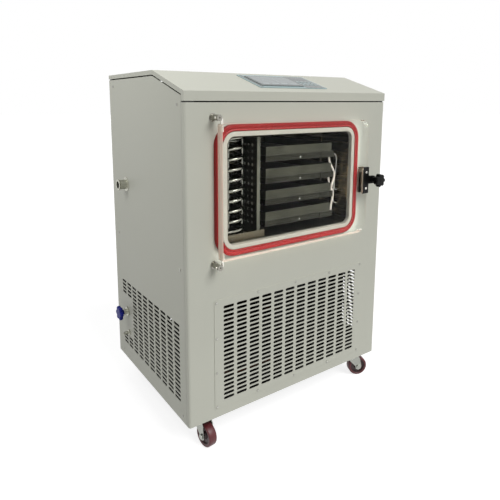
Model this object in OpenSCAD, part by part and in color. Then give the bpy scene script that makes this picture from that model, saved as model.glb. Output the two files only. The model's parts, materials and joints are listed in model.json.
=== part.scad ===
// Floor-standing freeze dryer with a square chamber: painted sheet-steel cabinet on four
// casters, stainless chamber with four heated shelves and a coil condenser, clear door with a
// clamp screw, refrigeration set below.
// Millimetres, +Z up, the door faces -Y, the casters stand on Z = 0.

/* [Cabinet] */
// Width of the cabinet
cab_w = 840; // [800:10:960]
// Depth of the cabinet
cab_d = 595; // [580:5:680]
// Height from the cabinet's underside to the lower edge of the cover's lip
body_h = 1000; // [980:10:1100]
// Thickness of the painted sheet steel
sheet_t = 2; // [1.5:0.5:3]
// Outside bend radius of the front sheet's upright edges
edge_r = 8; // [4:1:14]
// How far the front sheet wraps round each side
wrap_w = 16; // [12:1:24]
// Gap between neighbouring sheets
seam = 1; // [0.5:0.5:2]

/* [Cover] */
// Height of the cover's upright front lip
lip_h = 28; // [20:1:40]
// Height of the rim along the cover's sides and back
rim_h = 14; // [10:1:20]
// Distance from the front to the ridge of the sloping console
ridge_d = 205; // [190:5:230]
// Height that the console slope climbs
slope_rise = 66; // [50:2:80]
// Shadow gap between the cover and the sheets below it
cover_gap = 4; // [2:1:6]

/* [Frame] */
// Leg of the frame's angle steel
tube_w = 30; // [25:1:40]
// Thickness of the frame's angle steel
tube_t = 3; // [2:0.5:4]
// Thickness of the floor plate that carries the refrigeration set
deck_t = 3; // [2:0.5:5]

/* [Vents] */
// Length of one vent slot
slot_len = 38; // [30:1:42]
// Height of one vent slot
slot_h = 6; // [4:0.5:8]
// Distance between slot columns
slot_dx = 50; // [46:1:54]
// Distance between slot rows
slot_dz = 14.7; // [12:0.1:16]
// Slot columns in the front vent panel
front_cols = 12; // [8:1:12]
// Slot rows in the front vent panel
front_rows = 22; // [14:1:22]
// Slot columns in each side sheet
side_cols = 10; // [6:1:10]
// Slot rows in each side sheet
side_rows = 18; // [12:1:18]
// Height of the middle of the vents above the cabinet's underside
vent_z = 212; // [205:1:230]

/* [Chamber] */
// Width of the chamber mouth
mouth_w = 518; // [500:2:530]
// Height of the chamber mouth
mouth_h = 328; // [326:2:340]
// Inside corner radius of the chamber
mouth_r = 26; // [15:1:40]
// Sideways offset of the chamber from the cabinet's middle
mouth_x = -30; // [-40:5:-20]
// Height of the middle of the chamber mouth above the cabinet's underside
mouth_zc = 732; // [728:2:760]
// Distance from the chamber's inner back wall to the cabinet's back sheet
chamber_back = 95; // [85:5:120]
// Wall thickness of the chamber
chamber_t = 4; // [3:0.5:6]
// Width of the bare steel rim round the mouth
rim_w = 16; // [12:1:20]
// Width of the red seal round the rim
seal_w = 20; // [18:1:24]
// How far the seal's bead stands out from the front sheet
seal_out = 16.2; // [14:0.2:20]
// Thickness of the foam round the chamber
foam_t = 36; // [20:2:40]

/* [Door] */
// Thickness of the clear door
door_t = 25; // [20:1:30]
// How far the door reaches past the seal on the clamp side
door_past = 30; // [24:1:40]
// How far the door reaches past the seal above and below
door_over = 3; // [1:1:8]
// Corner radius of the door on the clamp side
door_r = 40; // [20:1:60]
// Rounding of the door's two upright edges beside the hinge
hinge_edge_r = 9; // [8.5:0.5:9]
// Distance of the hinge pin from the door's edge
hinge_in = 11; // [10.5:0.5:11.5]
// Gap between the closed door and the seal's bead
door_gap = 0.3; // [0.3:0.1:1]
// Diameter of the bent hinge rod
rod_d = 8; // [6:1:9]
// Depth of the hinge rod in the door
rod_in = 22; // [15:1:30]
// Diameter of the hinge post
post_d = 18; // [16:1:20]
// Clearance of a running fit, measured on the radius
run_fit = 0.08; // [0.05:0.01:0.1]

/* [Clamp] */
// Width of the black clamp plate
clamp_w = 30; // [24:1:36]
// Height of the black clamp plate
clamp_h = 95; // [80:1:110]
// Thickness of the black clamp plate
clamp_t = 7; // [5:0.5:9]
// Height of the tongue that carries the clamp screw
tongue_h = 28; // [24:1:34]
// Distance of the clamp screw from the door's edge
clamp_off = 25; // [22:1:30]
// How far the clamp screw lies below the door's middle
clamp_drop = 12; // [0:1:30]
// Diameter of the clamp screw
stud_d = 10; // [8:1:12]
// Diameter of the star knob
knob_d = 48; // [40:1:56]
// Thickness of the star knob
knob_t = 18; // [14:1:24]
// Length of the collar between tongue and knob
collar_l = 14; // [8:1:20]

/* [Shelves] */
// Number of shelves
shelf_n = 4; // [4:1:4]
// Thickness of a shelf
shelf_t = 20; // [16:1:22]
// Gap between a shelf and the chamber's floor
shelf_low = 24; // [20:1:26]
// Distance of the shelves behind the mouth
shelf_in = 26; // [24:1:60]
// Distance of the shelves' left edge from the chamber's left wall
shelf_left = 171; // [168:1:173]
// Room for hoses between the shelves and the chamber's right wall
shelf_side = 55; // [50:1:70]
// Room behind the shelves
shelf_back = 74; // [60:1:110]
// Room above the top tray
shelf_head = 40.5; // [30:0.5:48]
// Length of the fluid block that stands out past a shelf's right edge
nozzle_reach = 11; // [9:1:14]
// Height of a tray
tray_h = 29; // [20:1:34]
// Sheet thickness of trays, baffle and drip tray
tray_t = 1.5; // [1:0.1:2]
// How much narrower than its shelf a tray is, on each side
tray_in = 1; // [0:1:6]

/* [Condenser] */
// Diameter of the coil's tube
coil_tube = 10; // [8:0.5:12]
// Radius of the coil to the middle of its tube
coil_r = 43; // [36:1:44]
// Number of turns
coil_turns = 9; // [6:1:9]
// Height of the lowest turn above the chamber's floor
coil_low = 28; // [22:1:29]
// Distance of the top turn below the chamber's ceiling
coil_high = 6.6; // [6.2:0.2:12]
// Distance of the coil's middle from the chamber's left wall
coil_x = 57; // [56:1:62]
// Distance of the coil's middle behind the mouth
coil_y = 68; // [66:1:90]
// Distance of the baffle from the chamber's left wall
baffle_x = 134; // [130:1:137]
// Width of the baffle's folded front edge
baffle_edge = 12; // [10:1:16]
// Diameter of the holes in the baffle
baffle_hole = 10; // [6:1:12]
// Spacing of the holes in the baffle
baffle_dx = 21; // [18:1:26]
// Height of the drip tray's front wall
drip_h = 22; // [16:1:24]

/* [Console] */
// Width of the control panel
panel_w = 290; // [250:5:320]
// Height of the control panel along the slope
panel_l = 148; // [120:2:150]
// Sideways offset of the control panel
panel_x = 20; // [-60:5:60]
// Width of the touch screen
screen_w = 172; // [140:2:180]
// Height of the touch screen along the slope
screen_l = 106; // [90:2:112]

/* [Side fittings] */
// Distance of the drain valve from the front
valve_d = 488; // [480:2:500]
// Height of the drain valve above the cabinet's underside
valve_z = 202; // [195:1:215]
// Diameter of the valve's handwheel
wheel_d = 57; // [40:1:64]
// Distance from the side sheet to the outside of the handwheel
wheel_out = 40; // [36:1:50]
// Height of the drain nozzle above the cabinet's underside
nozzle_z = 118; // [114:1:124]
// Distance of the vacuum port in front of the chamber's inner back wall
port_back = 42; // [32:2:60]
// Height of the vacuum port above the cabinet's underside
port_z = 702; // [690:2:720]
// Inner diameter of the vacuum port's clamp flange
port_bore = 26; // [20:1:28]
// Inner diameter of the pipe behind the flange
port_pipe = 34; // [30:1:38]
// How far the vacuum port stands out from the side sheet
port_out = 32; // [26:1:38]

/* [Refrigeration set] */
// Distance of the compressor's axis from the cabinet's left side
comp_left = 230; // [200:5:250]
// Distance of the compressor's axis from the front
comp_front = 367.5; // [350:2.5:400]
// Diameter of the compressor's pot
comp_d = 170; // [150:5:180]
// Height of the compressor
comp_h = 210; // [190:5:230]
// Distance of the radiator's middle from the cabinet's left side
rad_left = 570; // [560:5:600]
// Distance of the radiator from the front
rad_front = 60; // [50:2:80]
// Width of the radiator
rad_w = 300; // [240:10:320]
// Height of the radiator
rad_h = 300; // [260:10:340]
// Depth of the radiator
rad_t = 70; // [50:2:80]
// Diameter of the fan
fan_d = 240; // [180:5:250]
// Distance of the fluid tank from the cabinet's left side
tank_left = 360; // [350:5:400]
// Distance of the fluid tank from the back
tank_back = 47.5; // [30:2.5:60]
// Width of the heating fluid tank
tank_w = 130; // [110:5:140]
// Depth of the heating fluid tank
tank_d = 160; // [140:5:170]
// Height of the heating fluid tank
tank_h = 200; // [160:5:220]
// Diameter of the circulation pump
pump_d = 70; // [60:2:76]
// Distance of the electric box from the cabinet's left side
elec_left = 300; // [200:10:400]
// Distance of the electric box from the front
elec_front = 250; // [220:5:280]
// Width of the electric box
elec_w = 300; // [260:5:320]
// Depth of the electric box
elec_d = 220; // [180:5:230]
// Height of the electric box
elec_h = 80; // [60:5:90]
// Sheet thickness of the electric box and the tank
box_t = 2; // [1:0.5:3]

/* [Casters] */
// Height from the floor to the cabinet's underside
caster_h = 100; // [96:1:110]
// Diameter of a caster wheel
caster_d = 75; // [70:1:76]
// Width of a caster wheel
caster_w = 30; // [24:1:34]
// Distance of a caster's swivel from the cabinet's side
caster_inx = 72; // [66:1:90]
// Distance of a caster's swivel from the cabinet's front or back
caster_iny = 50; // [46:1:70]
// Trail of a caster wheel behind its swivel
caster_trail = 26; // [20:1:28]

/* [Hidden] */
$fn = 48;
eps = 0.01;

// Outer faces and levels of the cabinet, before it is centred on its own outline
x0 = -cab_w/2;
x1 = cab_w/2;
y0 = -cab_d/2;
y1 = cab_d/2;
z0 = caster_h;
zlip = z0 + body_h;
ztop = zlip + lip_h + slope_rise;
slope_a = atan(slope_rise/ridge_d);

// Chamber
cx = mouth_x;
cz = z0 + mouth_zc;
cx0 = cx - mouth_w/2;
cx1 = cx + mouth_w/2;
cz0 = cz - mouth_h/2;
cz1 = cz + mouth_h/2;
chamber_d = cab_d - chamber_back;
port_d = chamber_d - port_back;
flange_w = rim_w + seal_w*0.6;
flange_t = 6;
rim_out = seal_out - 2;
ring_w = rim_w + seal_w;

// Door and its hinge
door_back = seal_out + door_gap;
door_x0 = cx0 - ring_w;
door_x1 = cx1 + ring_w + door_past;
door_z0 = cz0 - ring_w - door_over;
door_z1 = cz1 + ring_w + door_over;
door_cz = (door_z0 + door_z1)/2;
hinge_x = door_x0 + hinge_in;
hinge_out = door_back + door_t/2;
hinge_y = y0 - hinge_out;
post_x = hinge_x - post_d/2 - 4;
post_l = hinge_out + rod_d/2 + 5;
rod_gap = 18;
rod_bend = rod_d/2 + 1;

// Clamp screw
clamp_x = door_x1 + clamp_off;
clamp_z = door_cz - clamp_drop;
door_front = door_back + door_t;
tongue_front = door_front + clamp_t;
hub_l = 4;
knob_front = tongue_front + collar_l + hub_l + knob_t;
boss_d = 24;
stud_start = 12;
stud_gap = 0.7;

// Shelves and trays
shelf_w = mouth_w - shelf_left - shelf_side;
shelf_d = chamber_d - shelf_in - shelf_back;
shelf_dz = (mouth_h - shelf_low - shelf_t - tray_h - shelf_head)/(shelf_n - 1);
shelf_x0 = cx0 + shelf_left;
shelf_y0 = y0 + shelf_in;
shelf_z0 = cz0 + shelf_low;
function shelf_z(i) = shelf_z0 + (shelf_n - i)*shelf_dz;
rack_bar = 7;
rack_gap = 4;
rack_x0 = shelf_x0 - rack_gap - rack_bar;

// Condenser
coil_cx = cx0 + coil_x;
coil_cy = y0 + coil_y;
coil_z0 = cz0 + coil_low;
coil_pitch = (mouth_h - coil_low - coil_high)/coil_turns;
coil_clear = 0.9;
drip_clear = 1;
baf_x = cx0 + baffle_x;
baf_y0 = y0 + 22;
baf_y1 = y0 + chamber_d - 20;
drip_y0 = y0 + 14;

// Vents
slot_w2 = (front_cols - 1)*slot_dx/2;
slot_h2 = (front_rows - 1)*slot_dz/2;
vent_w = 2*slot_w2 + slot_len + 68;
vent_h = 2*slot_h2 + slot_h + 50;
vent_hole_in = 8;
vent_t = 1.5;
vent_cz = z0 + vent_z;
side_col0 = 75;
side_dx = 49;
side_low = 65;

// Frame
frame_w = cab_w - 2*sheet_t;
frame_d = cab_d - 2*sheet_t;
corner_cut = edge_r - sheet_t;
rail_z = cz0 - chamber_t - foam_t - tube_w;
deck_z = z0 + tube_w;
gusset_w = 112;
gusset_d = 82;
top_deck = deck_z + deck_t;

// Head height of the panel screws, and the shaft's reach into the head
pan_d = 8;
screw_head = 1.8;
head_bite = 0.5;

// Room taken past the cabinet by the fittings, and the shift that centres the outline
left_out = wheel_out;
right_out = screw_head;
front_out = knob_front;
back_out = 26;
shift_x = (left_out - right_out)/2;
shift_y = (front_out - back_out)/2;

// ---- general shapes ----

// Rectangle with round corners, centred
module rrect(w, h, r) {
    square([w - 2*r, h], center = true);
    square([w, h - 2*r], center = true);
    for (sx = [-1, 1], sy = [-1, 1])
        translate([sx*(w/2 - r), sy*(h/2 - r)]) circle(r);
}

// Upright plate drawn in X and Z: its face at y, its thickness towards +Y
module plate_xz(y, t) {
    translate([0, y + t, 0]) rotate([90, 0, 0]) linear_extrude(t) children();
}

// Upright plate drawn in Y and Z: its face at x, its thickness towards +X
module plate_yz(x, t) {
    translate([x, 0, 0]) rotate([90, 0, 90]) linear_extrude(t) children();
}

// Rod along -Y from the front sheet: from one distance out to another
module rod_out(x, z, a, b, d) {
    translate([x, y0 - a, z]) rotate([90, 0, 0]) cylinder(d = d, h = b - a);
}

// Long slot with round ends
module slot(w, h) {
    square([w - h, h], center = true);
    for (s = [-1, 1]) translate([s*(w - h)/2, 0]) circle(d = h, $fn = 20);
}

// Points of a tube's skin round a route: sides points on each ring, square to the route
function unit(v) = v/norm(v);
function ahead(p, i) = unit(p[min(i + 1, len(p) - 1)] - p[max(i - 1, 0)]);
function side_of(d) = unit(cross(d, abs(d[2]) > 0.9 ? [1, 0, 0] : [0, 0, 1]));
module tube_along(p, d, sides = 8) {
    rings = [for (i = [0:len(p) - 1]) let (f = ahead(p, i), u = side_of(f), v = cross(f, u))
        for (k = [0:sides - 1]) p[i] + d/2*(cos(360*k/sides)*u + sin(360*k/sides)*v)];
    walls = [for (i = [0:len(p) - 2], k = [0:sides - 1])
        let (a = i*sides + k, b = i*sides + (k + 1)%sides) [a, a + sides, b + sides, b]];
    first = [for (k = [0:sides - 1]) k];
    last = [for (k = [sides - 1:-1:0]) (len(p) - 1)*sides + k];
    polyhedron(rings, concat([first], walls, [last]), convexity = 6);
}

// ---- cabinet ----

// Welded frame of angle steel: four posts, three rings, floor plate and chamber shelf
module base_frame() {
    color([0.62, 0.62, 0.6]) {
        angle_ring(z0);
        angle_ring(rail_z - deck_t);
        angle_ring(zlip - cover_gap - tube_w);
        angle_posts(-1, zlip + 10);
        angle_posts(1, ztop - sheet_t);
        translate([0, 0, deck_z]) linear_extrude(deck_t) frame_outline(tube_t - 1);
        translate([0, 0, z0]) linear_extrude(5) gussets();
        chamber_shelf();
    }
}

// Plan of the frame's outside, a distance in, its corners cut off to clear the bent sheet
module frame_outline(in) {
    cut = max(0.5, corner_cut - 0.586*in);
    difference() {
        square([frame_w - 2*in, frame_d - 2*in], center = true);
        for (sx = [-1, 1], sy = [-1, 1]) translate([sx*(frame_w/2 - in), sy*(frame_d/2 - in)])
            rotate(45) square(cut*sqrt(2), center = true);
    }
}

// Ring of angle steel along the four walls, its flange on top
module angle_ring(z) {
    translate([0, 0, z]) linear_extrude(tube_w) difference() {
        frame_outline(0);
        frame_outline(tube_t);
    }
    translate([0, 0, z + tube_w - tube_t]) linear_extrude(tube_t) difference() {
        frame_outline(0);
        square([frame_w - 2*tube_w, frame_d - 2*tube_w], center = true);
    }
}

// Two posts of angle steel, at the front (-1) or at the back (1)
module angle_posts(sy, top) {
    for (sx = [-1, 1]) translate([0, 0, z0]) linear_extrude(top - z0) intersection() {
        difference() {
            frame_outline(0);
            frame_outline(tube_t);
        }
        translate([sx*(frame_w - tube_w)/2, sy*(frame_d - tube_w)/2]) square(tube_w, center = true);
    }
}

// Plate on the middle ring that the chamber in its foam stands on
module chamber_shelf() {
    translate([0, 0, rail_z + tube_w - deck_t]) linear_extrude(deck_t) difference() {
        translate([cx, 0]) square([mouth_w + 60, frame_d - 2*tube_t], center = true);
        translate([coil_cx, coil_cy + drain_back]) circle(d = drain_d + 6);
    }
}

// Corner plates that the casters are bolted to
module gussets() {
    for (sx = [-1, 1], sy = [-1, 1])
        translate([sx*(frame_w/2 - gusset_w/2 - tube_t), sy*(frame_d/2 - gusset_d/2 - tube_t)])
            square([gusset_w, gusset_d], center = true);
}

// Front sheet: flat face with both upright edges bent back round the sides
module front_panel() {
    color([0.73, 0.72, 0.68]) difference() {
        translate([0, 0, z0]) linear_extrude(body_h - cover_gap) front_section();
        plate_xz(y0 - 1, sheet_t + 2) {
            translate([cx, cz]) rrect(mouth_w + 2*chamber_t + 4, mouth_h + 2*chamber_t + 4,
                mouth_r + chamber_t + 2);
            translate([0, vent_cz]) square([vent_w - 4*vent_hole_in - 20,
                vent_h - 4*vent_hole_in], center = true);
            vent_screw_places() circle(d = 4.2);
            clamp_boss_place() circle(d = 10);
            hinge_post_places() circle(d = 8);
        }
    }
}

module front_section() {
    for (s = [-1, 1]) translate([s*(x1 - edge_r), y0 + edge_r]) intersection() {
        difference() {
            circle(edge_r);
            circle(edge_r - sheet_t);
        }
        translate([s > 0 ? 0 : -edge_r, -edge_r]) square(edge_r);
    }
    translate([-x1 + edge_r, y0]) square([2*(x1 - edge_r), sheet_t]);
    for (s = [-1, 1])
        translate([s > 0 ? x1 - sheet_t : -x1, y0 + edge_r]) square([sheet_t, wrap_w - edge_r]);
}

module vent_screw_places() {
    dx = (vent_w - 2*vent_hole_in)/4;
    dz = (vent_h - 2*vent_hole_in)/3;
    for (i = [-2:2], k = [-1.5:1:1.5])
        if (abs(i) == 2 || abs(k) == 1.5) translate([i*dx, vent_cz + k*dz]) children();
}

module clamp_boss_place() {
    translate([clamp_x, clamp_z]) children();
}

module hinge_post_places() {
    for (z = [door_z0 - rod_gap, door_z1 + rod_gap]) translate([post_x, z]) children();
}

// Vent sheet with its grid of slots
module vent_panel() {
    color([0.73, 0.72, 0.68]) plate_xz(y0 - vent_t, vent_t) difference() {
        translate([0, vent_cz]) rrect(vent_w, vent_h, 3);
        for (i = [0:front_cols - 1], k = [0:front_rows - 1])
            translate([i*slot_dx - slot_w2, vent_cz + k*slot_dz - slot_h2]) slot(slot_len, slot_h);
        vent_screw_places() circle(d = 4.2);
    }
}

// Outline of a side sheet, in Y and Z, its top edge parallel to the cover
module side_outline() {
    ya = y0 + wrap_w + seam;
    zr = ztop - rim_h - cover_gap;
    zf = zlip + lip_h + (ya - y0)*tan(slope_a) - rim_h - cover_gap;
    polygon([[ya, z0], [y1 - seam - sheet_t, z0], [y1 - seam - sheet_t, zr], [y0 + ridge_d, zr], [ya, zf]]);
}

// Slots of a side sheet. Where the drain fittings sit, the two rear columns stop short.
module side_slots(fittings) {
    for (i = [0:side_cols - 1], k = [0:side_rows - 1])
        if (!fittings || i < side_cols - 2 || k < 3 || k > side_rows - 5)
            translate([y0 + side_col0 + i*side_dx, z0 + side_low + k*slot_dz])
                slot(slot_len - 4, slot_h);
}

module side_screw_places() {
    zr = ztop - rim_h - cover_gap;
    for (z = [z0 + 20, (z0 + zlip)/2, zlip - 10]) translate([y0 + 42, z]) children();
    for (z = [z0 + 20, (z0 + zlip)/2, zr - 24]) translate([y1 - 42, z]) children();
}

module side_panel_left() {
    color([0.69, 0.69, 0.64]) plate_yz(x0, sheet_t) difference() {
        side_outline();
        side_slots(true);
        side_screw_places() circle(d = 4.2);
        translate([y0 + valve_d, z0 + valve_z]) circle(d = 16);
        translate([y0 + valve_d - 6, z0 + nozzle_z]) circle(d = 12);
        translate([y0 + port_d, z0 + port_z]) circle(d = port_bore + 14);
    }
}

module side_panel_right() {
    color([0.69, 0.69, 0.64]) plate_yz(x1 - sheet_t, sheet_t) difference() {
        side_outline();
        side_slots(false);
        side_screw_places() circle(d = 4.2);
    }
}

// Back sheet with a round fan outlet of ring slots and a hole for the cable gland
module back_panel() {
    color([0.69, 0.69, 0.64]) plate_xz(y1 - sheet_t, sheet_t) difference() {
        translate([x0 + seam, z0]) square([cab_w - 2*seam, ztop - rim_h - cover_gap - z0]);
        for (i = [0:7], k = [0:side_rows - 1])
            translate([i*slot_dx - 3.5*slot_dx, z0 + side_low + k*slot_dz]) slot(slot_len, slot_h);
        translate([gland_x, gland_z]) circle(d = 20);
        back_screw_places() circle(d = 4.2);
    }
}
gland_x = x1 - 110;
gland_z = z0 + 90;

module back_screw_places() {
    for (s = [-1, 1], z = [z0 + 20, (z0 + zlip)/2, zlip + 40])
        translate([s*(x1 - 20), z]) children();
}

// Top cover: console with a sloping front, closed on its sides by a narrow rim
module top_cover() {
    w = cab_w;
    color([0.83, 0.83, 0.79]) difference() {
        plate_yz(x0, w) polygon(concat(
            [[y0, zlip], [y0, zlip + lip_h], [y0 + ridge_d, ztop], [y1, ztop], [y1, ztop - rim_h],
             [y0 + ridge_d, ztop - rim_h]],
            [[y0 + wrap_w, zlip + lip_h + wrap_w*tan(slope_a) - rim_h], [y0 + wrap_w, zlip]]));
        plate_yz(x0 + sheet_t, w - 2*sheet_t) polygon([
            [y0 + sheet_t, zlip - 1], [y0 + sheet_t, zlip + lip_h - sheet_t],
            [y0 + ridge_d, ztop - sheet_t], [y1 - sheet_t, ztop - sheet_t],
            [y1 - sheet_t, zlip - 1]]);
        on_slope(panel_x, panel_l/2 + console_in) translate([0, 0, -8])
            linear_extrude(16) square([panel_w - 24, panel_l - 24], center = true);
        plate_xz(y1 - sheet_t - 1, sheet_t + 2) cover_screw_places() circle(d = 4.2);
    }
}
console_in = 42;
module cover_screw_places() {
    for (s = [-1, 1]) translate([s*(x1 - 60), ztop - rim_h/2]) children();
}

// Frame of the console slope: X as in the cabinet, Y up the slope, Z square to it
module on_slope(x, along) {
    translate([x, y0, zlip + lip_h]) rotate([slope_a, 0, 0]) translate([0, along, 0]) children();
}

// Control panel: plate with openings for the screen and the gauge
module control_panel() {
    color([0.6, 0.7, 0.72]) on_slope(panel_x, panel_l/2 + console_in) linear_extrude(2) difference() {
        rrect(panel_w, panel_l, 4);
        translate([-panel_w/2 + screen_in + screen_w/2, 0]) rrect(screen_w, screen_l, 3);
        translate([gauge_cx, panel_l/2 - gauge_in - gauge_l/2]) square([gauge_w, gauge_l], center = true);
    }
}
screen_in = 22;
gauge_w = 68;
gauge_l = 22;
gauge_in = 26;
gauge_cx = panel_w/2 - 16 - gauge_w/2;
console_fit = 0.2;

// Touch screen: frame on top of the panel, housing behind it
module touch_screen() {
    color([0.45, 0.47, 0.47]) on_slope(panel_x - panel_w/2 + screen_in + screen_w/2, panel_l/2 + console_in) {
        translate([0, 0, -18]) linear_extrude(22) rrect(screen_w - 2*console_fit,
            screen_l - 2*console_fit, 3 - console_fit);
        translate([0, 0, 2]) linear_extrude(2) rrect(screen_w + 6, screen_l + 6, 5);
    }
}

module gauge_display() {
    color([0.12, 0.13, 0.13])
        on_slope(panel_x + gauge_cx, panel_l + console_in - gauge_in - gauge_l/2)
        translate([0, 0, -12]) linear_extrude(14.6)
            square([gauge_w - 2*console_fit, gauge_l - 2*console_fit], center = true);
}

// ---- chamber ----

// Welded stainless box: open mouth with a flange on the front sheet and a raised rim, two
// fluid unions in the right wall, holes for the coil's ends, and a drain stub below
module chamber() {
    color([0.75, 0.75, 0.73]) {
        difference() {
            union() {
                chamber_block(mouth_w + 2*chamber_t, mouth_h + 2*chamber_t, mouth_r + chamber_t,
                    -rim_out, chamber_d + chamber_t);
                chamber_block(mouth_w + 2*rim_w, mouth_h + 2*rim_w, mouth_r + rim_w, -rim_out, 0);
                chamber_block(mouth_w + 2*flange_w, mouth_h + 2*flange_w, mouth_r + flange_w,
                    -flange_t, 0);
                translate([coil_cx, coil_cy + drain_back, drain_end])
                    cylinder(d = drain_d, h = cz0 - drain_end - 1);
            }
            chamber_block(mouth_w, mouth_h, mouth_r, -rim_out - 1, chamber_d);
            translate([cx0 - chamber_t - 1, y0 + port_d, z0 + port_z]) rotate([0, 90, 0])
                cylinder(d = port_pipe, h = chamber_t + 2);
            translate([coil_cx, coil_cy + drain_back, drain_end - 1])
                cylinder(d = drain_d - 4, h = cz0 - drain_end + 2);
            for (e = coil_ends) translate([cx0 - chamber_t - 1, e[0], e[1]]) rotate([0, 90, 0])
                cylinder(d = coil_tube + 1, h = chamber_t + 8);
        }
        for (z = [wall_z1, wall_z2]) translate([cx1, wall_y, z]) rotate([0, -90, 0]) {
            cylinder(d = 18, h = 6);
            cylinder(d = 12, h = 14);
            translate([0, 0, -chamber_t - 8]) cylinder(d = 18, h = 9 + chamber_t);
        }
    }
}
wall_y = y0 + 60;
wall_z1 = cz1 - 90;
wall_z2 = cz0 + 34;
drain_back = 300;
drain_d = 16;
drain_end = rail_z + tube_w - deck_t - 8;
coil_off = coil_tube + 1.5;
coil_ends = [[coil_cy - coil_r, coil_z0], [coil_cy + coil_r + coil_off, cz1 - mouth_r - coil_tube]];

// Block with round upright-plane corners between two depths behind the front sheet's face
module chamber_block(w, h, r, a, b) {
    plate_xz(y0 + a, b - a) translate([cx, cz]) rrect(w, h, r);
}

// Foam round the chamber's walls, behind the front sheet
module chamber_foam() {
    color([0.93, 0.88, 0.72]) difference() {
        chamber_block(mouth_w + 2*chamber_t + 2*foam_t, mouth_h + 2*chamber_t + 2*foam_t, mouth_r,
            tube_w + sheet_t, chamber_d + chamber_t + foam_t);
        chamber_block(mouth_w + 2*chamber_t, mouth_h + 2*chamber_t, mouth_r + chamber_t, 0,
            chamber_d + chamber_t);
        translate([cx0 - chamber_t - foam_t - 1, y0 + port_d, z0 + port_z]) rotate([0, 90, 0])
            cylinder(d = port_pipe + 8 + 1, h = foam_t + 2);
        translate([coil_cx, coil_cy + drain_back, cz0 - chamber_t - foam_t - 1])
            cylinder(d = drain_d + 1, h = foam_t + 2);
        for (z = [wall_z1, wall_z2]) translate([cx1 + chamber_t - 12, wall_y, z])
            rotate([0, 90, 0]) cylinder(d = 20, h = 22);
        for (e = coil_ends) translate([cx0 - chamber_t - foam_t - 1, e[0], e[1]])
            rotate([0, 90, 0]) cylinder(d = 16, h = foam_t + 12);
    }
}

// Red seal: slips over the flange, with a bead on its inner half for the door
module door_seal() {
    bead_w = 4.6;
    body_out = door_back - 1;
    out_r = mouth_r + ring_w;
    color([0.62, 0.12, 0.13]) difference() {
        union() {
            chamber_block(mouth_w + 2*ring_w, mouth_h + 2*ring_w, out_r, -body_out, 0);
            chamber_block(mouth_w + 2*(rim_w + bead_w), mouth_h + 2*(rim_w + bead_w),
                mouth_r + rim_w + bead_w, -seal_out, 0);
        }
        chamber_block(mouth_w + 2*rim_w + 2*seal_fit, mouth_h + 2*rim_w + 2*seal_fit,
            mouth_r + rim_w + seal_fit, -seal_out - 1, 1);
        chamber_block(mouth_w + 2*flange_w + 2*seal_fit, mouth_h + 2*flange_w + 2*seal_fit,
            mouth_r + flange_w + seal_fit, -flange_t, 1);
    }
}
seal_fit = 0.1;

// Condenser coil: one tube wound up a right-hand helix, its ends led out to the left wall
coil_step = 20;
coil_out = chamber_t + 6;
// After its turns the tube runs level for half a turn, swings out and dips to the left wall
function coil_at(a) = let (turned = min(a, 360*coil_turns),
    r = coil_r + coil_off*max(0, a - turned - 90)/90)
    [coil_cx + r*cos(a - 90), coil_cy + r*sin(a - 90), coil_z0 + coil_pitch*turned/360];
coil_path = concat([[cx0 - coil_out, coil_cy - coil_r, coil_z0]],
    [for (a = [0:coil_step:360*coil_turns + 180]) coil_at(a)],
    [for (x = [9, -coil_out]) [cx0 + x, coil_ends[1][0], coil_ends[1][1]]]);
module condenser_coil() {
    color([0.8, 0.8, 0.78]) tube_along(coil_path, coil_tube, 10);
}

// Three upright rods that hold the coil's turns, one outside and two inside, on two rings
module coil_rods() {
    rod_r = 3;
    inner = coil_r - coil_tube/2 - rod_r - coil_clear;
    outer = coil_r + coil_tube/2 + rod_r + coil_clear;
    low = cz0 + tray_gap + tray_t;
    color([0.7, 0.7, 0.68]) {
        for (p = [[0, outer], [120, inner], [235, inner]])
            translate([coil_cx + p[1]*cos(p[0]), coil_cy + p[1]*sin(p[0]), low])
                cylinder(r = rod_r, h = cz1 - 0.5 - low);
        for (z = [low + 6, coil_z0 + coil_pitch*(coil_turns - 0.375) - 1]) translate([coil_cx, coil_cy, z]) {
            difference() {
                cylinder(r = inner - rod_r + 0.8, h = 2);
                translate([0, 0, -1]) cylinder(r = inner - rod_r - 6, h = 4);
            }
            translate([inner - rod_r - 3, -4, 0]) cube([outer - inner + rod_r + 3, 8, 2]);
        }
    }
}

// Perforated partition between coil and shelves, its front edge folded towards the shelves
module baffle_plate() {
    zb = cz0 + tray_gap + tray_t;
    h = cz1 - 8 - zb;
    ny = floor((baf_y1 - baf_y0 - 40)/baffle_dx);
    nz = floor((h - 50)/baffle_dx);
    color([0.3, 0.31, 0.3]) {
        plate_yz(baf_x, tray_t) difference() {
            translate([baf_y0, zb]) square([baf_y1 - baf_y0, h]);
            for (i = [0:ny], k = [0:nz])
                translate([baf_y0 + 26 + i*baffle_dx, zb + 40 + k*baffle_dx])
                    circle(d = baffle_hole, $fn = 24);
        }
        translate([baf_x, baf_y0, zb]) cube([baffle_edge, tray_t, h]);
        translate([baf_x, baf_y0, zb]) cube([tray_t, 12, h]);
    }
}

// Shallow tray under the coil and the baffle, bent to the chamber's lower corner, its front
// wall higher than the others
module drip_tray() {
    d = chamber_d - 14 - 6;
    drain_y = coil_cy + drain_back;
    color([0.6, 0.58, 0.54]) difference() {
        union() {
            plate_xz(drip_y0, d) drip_section(tray_gap, 0, 10);
            plate_xz(drip_y0, tray_t) drip_section(tray_gap, 0, drip_h);
        }
        plate_xz(drip_y0 + tray_t, d - 2*tray_t) drip_section(tray_gap + tray_t, tray_t, 40);
        translate([coil_cx, drain_y, cz0 - 1]) cylinder(d = drain_d - 4, h = 5);
    }
}

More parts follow.
